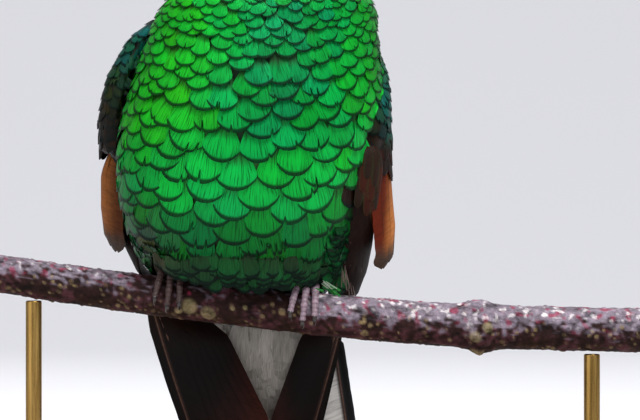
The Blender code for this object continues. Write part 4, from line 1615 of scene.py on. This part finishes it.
# %% [markdown]
# A hummingbird's feet are tiny and only hold on. Each toe is sheathed in a row of horny shields, swells
# at its joints, and ends in a thin, strongly hooked claw. The shields are ridges of the toe's own tube.
# Their colours are painted light and shade: the foot in the light is painted a pale lilac grey, the other,
# in the shade of the belly, a dusky brown.

# %% Feet and claws
# Each foot: its place along the twig, and the colours of its shields and of the creases between them,
# painted pale for the lit foot and dark for the shaded one.
FEET = {"leg_right": (-8.4, (64, 45, 42), (38, 27, 26)), "leg_left": (6.6, (138, 118, 128), (84, 62, 70))}
# Each toe: where it starts and ends along the twig, and the angles from the twig's top to its front.
TOES = ((-1.0, -2.1, -4.0, 92.0), (-0.15, -0.75, 0.0, 108.0), (0.75, 0.6, -2.0, 96.0),
        (0.0, 0.3, 4.0, -92.0))
CLAW_SWEEP = 27.0
HORN = (38, 30, 28)
SHIELDS = 11.0
SHANK_SHIELDS = 8.0
TOE_SIDES = 20
CLAW_SIDES = 14


def shields(count, t):
    """1 in the middle of each horny shield and 0 in the crease between two."""
    return np.abs(np.sin(math.pi * count * t)) ** 0.6


def shield_colours(dark, pale, shield):
    return between(dark, pale, (0.25 + 0.75 * shield)[:, None, None] * np.ones((1, TOE_SIDES, 1)))


def round_twig(x, degrees, lift):
    """Points at angles from the twig's top to the front, at a height over the bark."""
    turn = np.radians(degrees)
    reach = perch_radius(x) + lift
    return xyz(x, -reach * np.sin(turn), perch_height(x) + reach * np.cos(turn))


def make_toe(name, x, toe, pale, dark):
    start, end, first, last = toe
    t = np.linspace(0.0, 1.0, 90)
    shield = shields(SHIELDS, t)
    joint = bump_at(t, 0.36, 0.12) + bump_at(t, 0.70, 0.10) + 0.9 * bump_at(t, 0.97, 0.08)
    radius = (0.44 - 0.12 * t) * (0.88 + 0.12 * shield) + 0.05 * joint
    radius *= np.sqrt(np.clip(1.0 - ((t - 0.95) / 0.052) ** 2, 0.02, 1.0)) ** (t > 0.95)
    line = round_twig(x + start + (end - start) * t, first + (last - first) * t, 0.30 + radius)
    rings = swept_rings(line, radius, TOE_SIDES)
    return ring_tube(name, in_world(rings), shield_colours(dark, pale, shield))


def make_claw(name, x, toe):
    """A hook that leaves the bark in a low arch and points back to it."""
    _, end, _, last = toe
    t = np.linspace(0.0, 1.0, 26)
    sweep = math.copysign(CLAW_SWEEP, last)
    radius = 0.27 * (1.0 - t) ** 0.7 + 0.03
    lift = 0.48 + 0.35 * np.sin(math.pi * t ** 0.8) - 0.30 * t ** 2
    line = round_twig(x + end + 0.0 * t, last - 0.12 * sweep + sweep * t, lift + 0.1)
    rings = swept_rings(line, radius, CLAW_SIDES)
    return ring_tube(name, in_world(rings), flat_colour(HORN, rings.shape[:2]))


print("shield and crease:", shields(SHIELDS, np.array((0.5, 1.0)) / SHIELDS).round(2))

# %% [markdown]
# The shank goes up into the belly feathers, and a small palm joins the toes on top of the twig. Toes and
# claws are kept apart as two pieces, because skin is dull and horn is glossy.

# %% Whole feet


def make_shank(name, ankle, pale, dark):
    t = np.linspace(0.0, 1.0, 40)
    shield = shields(SHANK_SHIELDS, t)
    radius = 0.52 * (0.92 + 0.08 * shield) + 0.22 * bump_at(t, 0.0, 0.25)
    line = ankle + np.array((0.0, 2.6, 4.8)) * t[:, None]
    rings = swept_rings(line, radius, TOE_SIDES)
    return ring_tube(name, in_world(rings), shield_colours(dark, pale, shield))


def make_palm(name, ankle, pale):
    t = np.linspace(-1.0, 1.0, 24)
    line = ankle + np.array((0.0, 0.12, 0.1)) * t[:, None] + np.array((0.9, 0.0, 0.0)) * t[:, None]
    rings = swept_rings(line, 0.66 * np.sqrt(np.clip(1.0 - (0.985 * t) ** 2, 0.0, 1.0)), TOE_SIDES)
    return ring_tube(name, in_world(rings), flat_colour(pale, rings.shape[:2]) * 0.7)


def make_foot(name, x, pale, dark):
    ankle = np.array((x, 0.0, perch_height(x) + perch_radius(x) + 1.0))
    parts = [make_shank(name + "_shank", ankle, pale, dark), make_palm(name + "_palm", ankle, pale)]
    parts += [make_toe(f"{name}_toe_{number}", x, toe, pale, dark) for number, toe in enumerate(TOES)]
    claws = [make_claw(f"{name}_claw_{number}", x, toe) for number, toe in enumerate(TOES)]
    return join(name.replace("leg", "foot"), parts), join(name.replace("leg", "claws"), claws)


def foot_material():
    chain = Chain("foot_skin", Roughness=0.5, Subsurface_Weight=0.08, Subsurface_Scale=0.0004)
    mottle = chain.noise(2600.0, 4.0)
    chain.show(Base_Color=chain.times(chain.plume(), chain.ramp(mottle, (0.3, 0.7), (0.7, 1.2))))
    chain.bump(mottle, 0.3, 0.00005)
    return chain


def horn_material():
    chain = Chain("claw_horn", Roughness=0.3, Specular_IOR_Level=0.6)
    streak = chain.noise(900.0, 4.0, chain.stretch((1.0, 1.0, 3.0)))
    chain.show(Base_Color=chain.ramp(streak, (0.3, linear(24, 20, 20)), (0.7, linear(54, 44, 40))))
    chain.bump(streak, 0.15, 0.00004)
    return chain


FEET_MADE = {}
FOOT_SKIN, CLAW_HORN = foot_material(), horn_material()
for leg, (at, pale_tint, dark_tint) in FEET.items():
    FEET_MADE[leg] = make_foot(leg, at, pale_tint, dark_tint)
    wear(FEET_MADE[leg][0], FOOT_SKIN)
    wear(FEET_MADE[leg][1], CLAW_HORN)
print("foot faces:", [len(piece.data.polygons) for pair in FEET_MADE.values() for piece in pair])

# %% [markdown]
# The bill is a straight, slim awl of black horn. The upper half overlaps the lower like a lid, and a slit
# nostril lies near its root under a small cover. The real halves are bone in a horn sheath; each is made
# here as one closed tube of half-oval rings, sunk at the root into the feathers of the face.

# %% The bill
# Each row: the way forward from the head's middle, half the width and half the height there.
BILL_ROWS = ((6.6, 1.30, 1.05), (8.6, 1.15, 0.95), (10.5, 0.92, 0.78), (15.0, 0.72, 0.62),
             (21.0, 0.58, 0.52), (26.5, 0.5, 0.45), (28.0, 0.30, 0.27), (28.3, 0.08, 0.08))
BILL_DROP = -0.5
BILL_SAG = 0.0012
GAPE = 0.035
BILL_BLACK = (30, 27, 28)
NOSTRIL_PAINTED_SHADE = (6, 5, 5)


def make_bill(name, above):
    """One half: rings of half an oval and of the flat side that meets the other half at the gape."""
    level = np.linspace(BILL_ROWS[0][0], BILL_ROWS[-1][0], 110)
    wide, tall = smooth_rows(BILL_ROWS, level).T
    slim = 1.0 if above else 0.9
    arc = np.linspace(0.0, math.pi, 22)
    inside = np.linspace(math.pi, 0.0, 12)[1:-1]
    side = np.concatenate([np.cos(arc), 0.94 * np.cos(inside)])
    height = np.concatenate([np.sin(arc), np.zeros(len(inside))])
    drop = BILL_DROP - BILL_SAG * (level - BILL_ROWS[1][0]) ** 2
    sign = 1.0 if above else -1.0
    out = wide[:, None] * slim * side
    up = drop[:, None] + sign * (GAPE + tall[:, None] * (1.0 if above else 0.85) * height)
    forward = level[:, None] + 0.0 * side
    if above:
        turn = np.arctan2(height, np.abs(side))
        slot = bump_at(forward, 10.2, 1.5) * bump_at(turn, 0.42, 0.24)
        cover = bump_at(forward, 9.9, 1.7) * bump_at(turn, 0.78, 0.3)
        out = out * (1.0 - 0.16 * slot + 0.05 * cover)
        up = up + 0.05 * cover - 0.02 * slot
        up = up - 0.06 * smooth_step(27.0, 28.3, forward)
    colours = flat_colour(BILL_BLACK, forward.shape)
    if above:
        # The nostril's slot is painted near black: painted shade in its recess.
        colours = laid(colours, (NOSTRIL_PAINTED_SHADE, slot))
    return ring_tube(name, head_world(forward, out, up), colours)


def bill_material():
    chain = Chain("bill_horn", Specular_IOR_Level=0.55)
    streak = chain.noise(700.0, 4.0, chain.stretch((1.0, 1.0, 4.0)))
    chain.show(Base_Color=chain.times(chain.plume(), chain.ramp(streak, (0.3, 0.7), (0.7, 1.3))),
               Roughness=chain.ramp(chain.noise(1600.0), (0.35, 0.26), (0.65, 0.42)))
    chain.bump(streak, 0.12, 0.00004)
    return chain


BILL = {"bill_upper": make_bill("bill_upper_horn", True), "bill_lower": make_bill("bill_lower_horn", False)}
BILL_HORN = bill_material()
for half in BILL.values():
    wear(half, BILL_HORN)
print("bill faces:", [len(half.data.polygons) for half in BILL.values()])

# %% [markdown]
# The eye is large and dark, a wet ball that fills its socket. Only a disc of it shows inside the lids:
# two soft rims of bare grey skin that hug the ball, wrinkled all round, drawn a little longer from front
# to back than they are tall. A museum eye is dark glass, with the brown iris just visible.

# %% Eyes and lids
EYE_TILT = (0.42, 1.0, 0.12)
LID_ROWS = ((0.0, 1.38, 1.17), (0.2, 1.41, 1.22), (0.45, 1.48, 1.21), (0.7, 1.58, 1.10), (1.0, 1.72, 0.85),
            (1.3, 1.92, 0.40))
LID_GREY = (46, 46, 44)
LID_DARK = (20, 20, 20)
LID_STEPS = 22
IRIS_BROWN = (34, 20, 12)
IRIS_FIBRE = (64, 36, 18)
PUPIL = (3, 3, 4)
EYE_BROWN = (10, 7, 6)


def eye_axes(sign):
    """The ball's centre, and its axes out of the head, forward and up, in the head's own measures."""
    centre = EYE_PLACE * (1.0, sign, 1.0)
    out = unit(np.array((EYE_TILT[0], sign * EYE_TILT[1], EYE_TILT[2])))
    fore = unit(np.array((1.0, 0.0, 0.0)) - out * out[0])
    return centre, out, fore, np.cross(out, fore) * sign


def make_lids(name, sign):
    """Rings from inside the lids' rim over its roll to the face, and back again under the feathers."""
    centre, out, fore, up = eye_axes(sign)
    profile = smooth_rows(LID_ROWS, np.linspace(0.0, LID_ROWS[-1][0], LID_STEPS))
    turn = np.arange(96) / 96 * math.tau
    wave = 3.0 * np.sin(turn * 2.0)
    rings = []
    for k, (reach, lift) in enumerate(profile):
        fade = math.sin(math.pi * min(k / (LID_STEPS - 1.0) * 1.25, 1.0))
        crease = 0.012 * np.sin(turn * 34.0 + wave) * fade
        long = (1.05 + 0.05 * np.abs(np.cos(turn)) ** 6) * np.cos(turn)
        flat = reach * (long[:, None] * fore + 0.93 * np.sin(turn)[:, None] * up)
        rings.append(centre + flat + out * (lift + crease)[:, None])
    inner = [centre + (rings[0] - centre) * 0.93 - out * 0.05]
    back = [centre + (ring - centre) * 0.86 - out * 0.1 for ring in rings[::-1]]
    rings = np.array(inner + rings + back)
    ridge = np.sin(turn * 26.0 + wave) * 0.5 + 0.5
    colours = between(LID_DARK, LID_GREY, ridge[None, :, None] * np.ones((len(rings), 1, 1)))
    return ring_loop(name, head_world(*np.moveaxis(rings, -1, 0)), colours)


print("lid steps:", LID_STEPS)

# %% [markdown]
# The ball's rings run round the line of sight, so pupil, iris and dark edge are simply bands of rings. The
# cornea is a slight bulge over the first two, which catches the light.

# %% The ball of the eye


def make_eye(name, sign):
    centre, out, fore, up = eye_axes(sign)
    angle = np.linspace(0.02, math.pi - 0.02, 64)[:, None]
    turn = np.arange(64)[None] / 64 * math.tau
    radius = EYE_RADIUS - 0.02
    cornea = 0.09 * smooth_step(0.75, 0.3, angle)
    reach = (radius * np.sin(angle))[..., None]
    lift = (radius * np.cos(angle) + cornea)[..., None]
    rings = centre + reach * (np.cos(turn)[..., None] * fore + np.sin(turn)[..., None] * up) + lift * out
    fan = 0.5 + 0.5 * np.sin(turn * 40.0) + 0.0 * angle
    tint = laid(flat_colour(IRIS_BROWN, fan.shape), (IRIS_FIBRE, 0.6 * fan * bump_at(angle, 0.42, 0.14)),
                (PUPIL, smooth_step(0.34, 0.30, angle) + 0.0 * turn),
                (EYE_BROWN, smooth_step(0.5, 0.6, angle) + 0.0 * turn))
    return ring_tube(name, head_world(*np.moveaxis(rings, -1, 0)), tint)


def eye_material():
    chain = Chain("eye", Roughness=0.05, Specular_IOR_Level=0.4, Coat_Weight=0.3, Coat_Roughness=0.02)
    chain.show(Base_Color=chain.plume())
    return chain


def lid_material():
    chain = Chain("eyelid_skin", Roughness=0.55, Specular_IOR_Level=0.45)
    fine = chain.noise(4000.0, 3.0)
    chain.show(Base_Color=chain.times(chain.plume(), chain.ramp(fine, (0.3, 0.7), (0.7, 1.2))))
    chain.bump(fine, 0.3, 0.00003)
    return chain


EYES, LIDS = {}, {}
EYE_GLASS, LID_SKIN = eye_material(), lid_material()
for eye, sign in (("eye_left", 1.0), ("eye_right", -1.0)):
    EYES[eye] = make_eye(eye + "_ball", sign)
    LIDS[eye] = make_lids(eye.replace("eye", "lids"), sign)
    wear(EYES[eye], EYE_GLASS)
    wear(LIDS[eye], LID_SKIN)
print("eye and lid faces:", len(EYES["eye_left"].data.polygons), len(LIDS["eye_left"].data.polygons))

# %% [markdown]
# Under the tail's root lies a pad of soft white feathers, looser than the green ones. They grow on a
# slightly drawn-in copy of their own solid, whose short fluff shows between them. Where the belly ends it
# has loose feathers too: a fringe over the twig, some on the left flank that lap over the folded wing, and
# a few wisps of down beside the left foot.

# %% Undertail coverts and the loose feathers of the belly
UNDERTAIL_WHITE = (166, 162, 154)
UNDERTAIL_GREY = (122, 120, 112)
TUFT_PALE = (132, 140, 128)
TUFT_GREEN = (26, 104, 40)
TUFT_BROWN = (84, 70, 64)


def make_undertail(rng):
    core = copy_nodes("undertail_core", ("undertail_coverts",))
    melt(core, 0.3 * MM, 8)
    draw_in(core, 0.15 * MM)
    unwrap(core)
    ground = Ground(core)
    place, normal = ground.scatter(5000, rng)
    kept = []
    for index in range(len(place)):
        if not kept or (np.linalg.norm(place[kept] - place[index], axis=1) > 0.85 * MM).all():
            kept.append(index)
    place, normal = place[kept], normal[kept]
    lie = np.zeros(place.shape) + (0.02, 0.1, -1.0)
    lie = unit(lie - normal * (lie * normal).sum(axis=1, keepdims=True))
    colours = between(UNDERTAIL_WHITE, UNDERTAIL_GREY, rng.uniform(0.0, 0.8, (len(place), 1)))
    cut = Lie(9, 7, 1.0, 2.6, 1.1, tip=0.45, slope=0.08, fray=0.008, wander=0.1)
    width = np.full(len(place), 1.9 * MM)
    coat = contour_feathers("undertail_down", ground, place, normal, lie, width, colours, cut, rng)
    paint(core, "Plume", flat_colour(UNDERTAIL_GREY, ground.points.shape[:1]))
    return core, coat


def under_down_material():
    chain = Chain("under_down", Roughness=0.9, Specular_IOR_Level=0.1)
    fluff = chain.noise(2200.0, 4.0, chain.stretch((1.0, 1.0, 0.25)))
    chain.show(Base_Color=chain.ramp(fluff, (0.3, linear(78, 76, 70)), (0.7, linear(146, 142, 134))))
    chain.bump(fluff, 0.6, 0.0001)
    return chain


def down_material():
    """Soft barbs, fewer and wider than those of the green feathers."""
    chain = Chain("down", Roughness=0.8, Specular_IOR_Level=0.2, Sheen_Weight=0.3)
    own = chain.vane()
    row = (chain.math("MULTIPLY", part, scale) for part, scale in ((own["X"], 9.0), (own["Y"], 1.2),
                                                                   (chain.luck(), 20.0)))
    barb = chain.noise(2.0, 3.0, chain.vector(*row), 0.65)
    chain.show(Base_Color=chain.times(chain.plume(), chain.ramp(barb, (0.34, 0.62), (0.55, 1.0))))
    chain.bump(barb, 0.5, 0.00008)
    return chain


print("undertail colours, in light:", screen(UNDERTAIL_WHITE).round(2), screen(UNDERTAIL_GREY).round(2))

# %% [markdown]
# A loose vane is shaped like one of the coat, but stands free of the skin, in its own direction and with a
# droop of its own. Its root is found by looking at the skin from in front.

# %% Loose feathers


def loose_vanes(name, place, lie, out, width, long, droop, colours, rng):
    """Vanes that stand free of the skin: place in the perch frame, sizes and droop in millimetres."""
    lie, out = unit(lie), unit(out)
    side = unit(np.cross(lie, out))
    out = np.cross(side, lie)
    across, along = fan_rows(13, 6)
    half = 0.5 * width[:, None, None] * (0.45 + 0.55 * smooth_step(0.0, 0.7, along))
    fray = rng.normal(0.0, 0.014, (len(place), 1, 13)) * along ** 6
    y = long[:, None, None] * (along + fray) - half * rim_sag(across) * along ** 2
    rise = droop[:, None, None] * along ** 1.6 - 0.12 * half * across ** 2
    top = place[:, None, None] + side[:, None, None] * (across * half)[..., None]
    top = in_world(top + lie[:, None, None] * y[..., None] + out[:, None, None] * rise[..., None])
    thickness = out[:, None, None] * np.full(top.shape, VANE_THICKNESS * MM)
    return make_sheets(name, top, thickness, across, along, rng.random(len(place)), colours,
                       patches(GROUND, in_world(place), across, along))


def skin_front(x, z):
    """Points of the skin seen from in front, at these places of the perch frame."""
    found = []
    for point in in_world(xyz(x, -30.0, z)).tolist():
        hit = GROUND.tree.ray_cast(Vector(point), Vector((0.0, 1.0, 0.0)))[0]
        found.append(hit[:] if hit else (point[0], PERCH_ZERO.y, point[2]))
    return local(found)


def make_fringe(rng):
    """The lowest belly feathers hang free over the twig and the roots of the toes."""
    count = 120
    x = np.linspace(-10.4, 9.8, count) + rng.normal(0.0, 0.3, count)
    row = np.arange(count) % 3
    side = np.abs(x + 0.4) / 10.4
    place = skin_front(x, 4.9 + 0.8 * row - 0.05 * x + 0.8 * side ** 2 + rng.normal(0.0, 0.35, count))
    place[:, 1] += 0.1
    lie = xyz(-0.03 * x + rng.normal(0.0, 0.12, count), 0.12 + 0.25 * side, -1.0)
    out = xyz(0.05 * x, -1.0, 0.1)
    width = rng.uniform(1.4, 2.4, count)
    long = rng.uniform(2.2, 3.3, count) + 0.5 * row
    # Greens darkened toward the belly's painted shade, as low on the coat.
    green = between(BELLY_GREEN_AND_SHADE, BELLY_PAINTED_SHADE, rng.uniform(0.35, 1.0, (count, 1)))
    colours = laid(green, (DOWN_GREY, smooth_step(-7.0, -10.0, x) * rng.uniform(0.2, 0.9, count)))
    droop = rng.uniform(-0.1, 0.3, count)
    return loose_vanes("belly_fringe", place, lie, out, width, long, droop, colours, rng)


def make_flank(rng):
    """Loose feathers of the left flank, that fill in between the belly and the folded wing."""
    count = 26
    x = rng.uniform(9.6, 11.2, count)
    z = 11.6 - 7.4 * np.arange(count) / count
    place = skin_front(x - 0.10 * (13.0 - z), z) + np.array((-0.4, 0.5, 0.0))
    lie = xyz(rng.normal(0.06, 0.06, count), 0.15, -1.0)
    out = np.zeros(lie.shape) + (0.8, -0.7, 0.1)
    # Greens darkened toward the belly's painted shade, as low on the coat.
    colours = between(BELLY_GREEN_AND_SHADE, BELLY_PAINTED_SHADE, rng.uniform(0.0, 0.5, (count, 1)))
    return loose_vanes("flank_feathers", place, lie, out, rng.uniform(1.5, 2.1, count),
                       rng.uniform(3.0, 4.0, count), rng.uniform(0.25, 0.6, count), colours, rng)


def make_tufts(rng):
    """Wisps beside the left foot: pale ones over green ones, and brown ones behind."""
    plan = [((8.2, -3.0, 2.8), (0.22, 0.05, 0.12), (1.0, 0.0, -0.72), 0.1, 1.2, TUFT_PALE)] * 7
    plan += [((8.5, -2.8, 2.2), (0.4, 0.1, 0.2), (0.8, 0.0, -0.5), 0.24, 1.2, TUFT_GREEN)] * 12
    plan += [((10.6, -0.6, 3.9), (0.3, 0.5, 0.6), (0.1, 0.0, -1.0), 0.09, 1.7, TUFT_BROWN)] * 18
    place, jitter, lie, width, long, tint = (np.array(column) for column in zip(*plan))
    place = place + jitter * rng.normal(0.0, 1.0, place.shape)
    lie = lie + rng.normal(0.0, 0.14, lie.shape)
    long = long * rng.uniform(0.7, 1.2, len(plan))
    out = np.zeros(lie.shape) + (0.1, -1.0, 0.2)
    return loose_vanes("foot_tufts", place, lie, out, width, long, np.full(len(plan), 0.2),
                       np.array([screen(colour) for colour in tint]), rng)


UNDERTAIL_CORE, UNDERTAIL = make_undertail(RNG)
FRINGE, FLANK, TUFTS = make_fringe(RNG), make_flank(RNG), make_tufts(RNG)
DOWN = down_material()
for piece in (UNDERTAIL, VENT, TUFTS):
    wear(piece, DOWN)
for piece in (FRINGE, FLANK):
    wear(piece, PLUMAGE)
wear(UNDERTAIL_CORE, under_down_material())
print("undertail faces:", len(UNDERTAIL.data.polygons))

# %% [markdown]
# The display stand is plain: two drawn brass rods, a little tarnished, rise from an oiled walnut base to the
# twig's underside. The base keeps its solid and gets the wood; the rods are made again, round and bevelled.

# %% The stand
BASE_THICKNESS = 5.0
ROD_RADIUS = 0.9
ROD_SPACING = 62.0
ROD_GAP = 0.3


def make_rod(name, sign):
    x = sign * ROD_SPACING / 2.0 - BIRD_OFFSET
    low = BASE_THICKNESS + ROD_GAP - PERCH_HEIGHT
    high = float(perch_height(x) - perch_radius(x)) - ROD_GAP
    bpy.ops.mesh.primitive_cylinder_add(vertices=64, radius=ROD_RADIUS * MM, depth=(high - low) * MM)
    rod = bpy.context.object
    rod.name = name
    rod.data.transform(Matrix.Translation(in_world((x, 0.0, (low + high) / 2.0))))
    apply_modifier(rod, "BEVEL", width=0.18 * MM, segments=3, limit_method="ANGLE")
    soften(rod, 40.0)
    rod.data.uv_layers[0].name = "OFBake"
    return rod


def brass_material():
    chain = Chain("rod_brass", Metallic=1.0)
    drawn = chain.noise(500.0, 4.0, chain.stretch((8.0, 8.0, 0.25)))
    tone = chain.ramp(drawn, (0.3, linear(170, 132, 70)), (0.7, linear(206, 168, 100)))
    cloud = chain.ramp(chain.noise(120.0, 3.0), (0.35, 0.0), (0.7, 0.35))
    chain.show(Base_Color=chain.mix(cloud, tone, linear(120, 88, 50)),
               Roughness=chain.ramp(drawn, (0.3, 0.22), (0.7, 0.36)))
    chain.bump(drawn, 0.08, 0.00003)
    return chain


def walnut_material():
    """Rings of a trunk far to one side, seen as long figure, with open pores along the grain."""
    chain = Chain("base_wood", Specular_IOR_Level=0.45, Coat_Weight=0.12, Coat_Roughness=0.3)
    warp = chain.noise(28.0, 3.0, chain.stretch((0.35, 1.0, 1.0)))
    spot = chain.parts(chain.place())
    line = chain.math("MULTIPLY", spot["Y"], 230.0)
    line = chain.math("ADD", line, chain.math("MULTIPLY", spot["Z"], 90.0))
    ring = chain.math("FRACT", chain.math("ADD", line, chain.math("MULTIPLY", warp, 7.0)))
    early = chain.ramp(ring, (0.0, 0.1), (0.7, 0.6), (0.94, 1.0), (1.0, 0.1))
    fibre = chain.noise(420.0, 4.0, chain.stretch((0.06, 1.0, 1.0)), 0.65)
    pore = chain.ramp(chain.noise(900.0, 2.0, chain.stretch((0.05, 1.0, 1.0))), (0.34, 1.0), (0.42, 0.0))
    tone = chain.mix(early, linear(116, 78, 50), linear(74, 46, 30))
    tone = chain.mix(chain.ramp(fibre, (0.35, 0.0), (0.7, 0.5)), tone, linear(142, 100, 66))
    chain.show(Base_Color=chain.mix(chain.math("MULTIPLY", pore, 0.6), tone, linear(44, 26, 18)),
               Roughness=chain.ramp(fibre, (0.3, 0.36), (0.7, 0.52)))
    chain.bump(chain.math("SUBTRACT", fibre, chain.math("MULTIPLY", pore, 0.8)), 0.15, 0.00008)
    return chain


RODS = {"stand_rod_right": make_rod("rod_right", -1.0), "stand_rod_left": make_rod("rod_left", 1.0)}
BRASS, WALNUT = brass_material(), walnut_material()
for rod in RODS.values():
    wear(rod, BRASS)
for holder in frame["nodes"]["stand_base"].material_slots:
    holder.material = WALNUT.material
print("rods:", [len(rod.data.polygons) for rod in RODS.values()])

# %% [markdown]
# Each piece is attached to the one body, the root, and the solids of the model that it replaces are hidden:
# a mounted bird doesn't move.

# %% Pieces and the solids they replace


def settle(piece, finish, *nodes):
    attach(piece, "root")
    if nodes:
        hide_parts(*nodes)


settle(SKIN, "green_plumage", *FLESH)
for piece in COAT:
    finish = "covert_feathers" if "wing" in piece.name else "green_plumage"
    settle(piece, "undertail_down" if piece is VENT else finish)
QUILL_FINISH = {"primaries": "primary_feathers", "secondaries": "secondary_feathers",
                "tail": "tail_feathers"}
for node, piece in QUILLS.items():
    kind = node.split("_")[-1]
    settle(piece, QUILL_FINISH.get(kind, "covert_feathers"), *([node] if kind in QUILL_FINISH else []))
for leg, (foot, claws) in FEET_MADE.items():
    settle(foot, "foot_skin", leg)
    settle(claws, "foot_skin")
for node, piece in BILL.items():
    settle(piece, "bill_horn", node)
for node, piece in EYES.items():
    settle(piece, "eye", node)
    settle(LIDS[node], "foot_skin")
settle(UNDERTAIL_CORE, "undertail_down", "undertail_coverts")
settle(UNDERTAIL, "undertail_down")
settle(FRINGE, "green_plumage")
settle(FLANK, "green_plumage")
settle(TUFTS, "undertail_down")
settle(PERCH, "twig_bark", "perch")
for node, piece in RODS.items():
    settle(piece, "rod_brass", node)
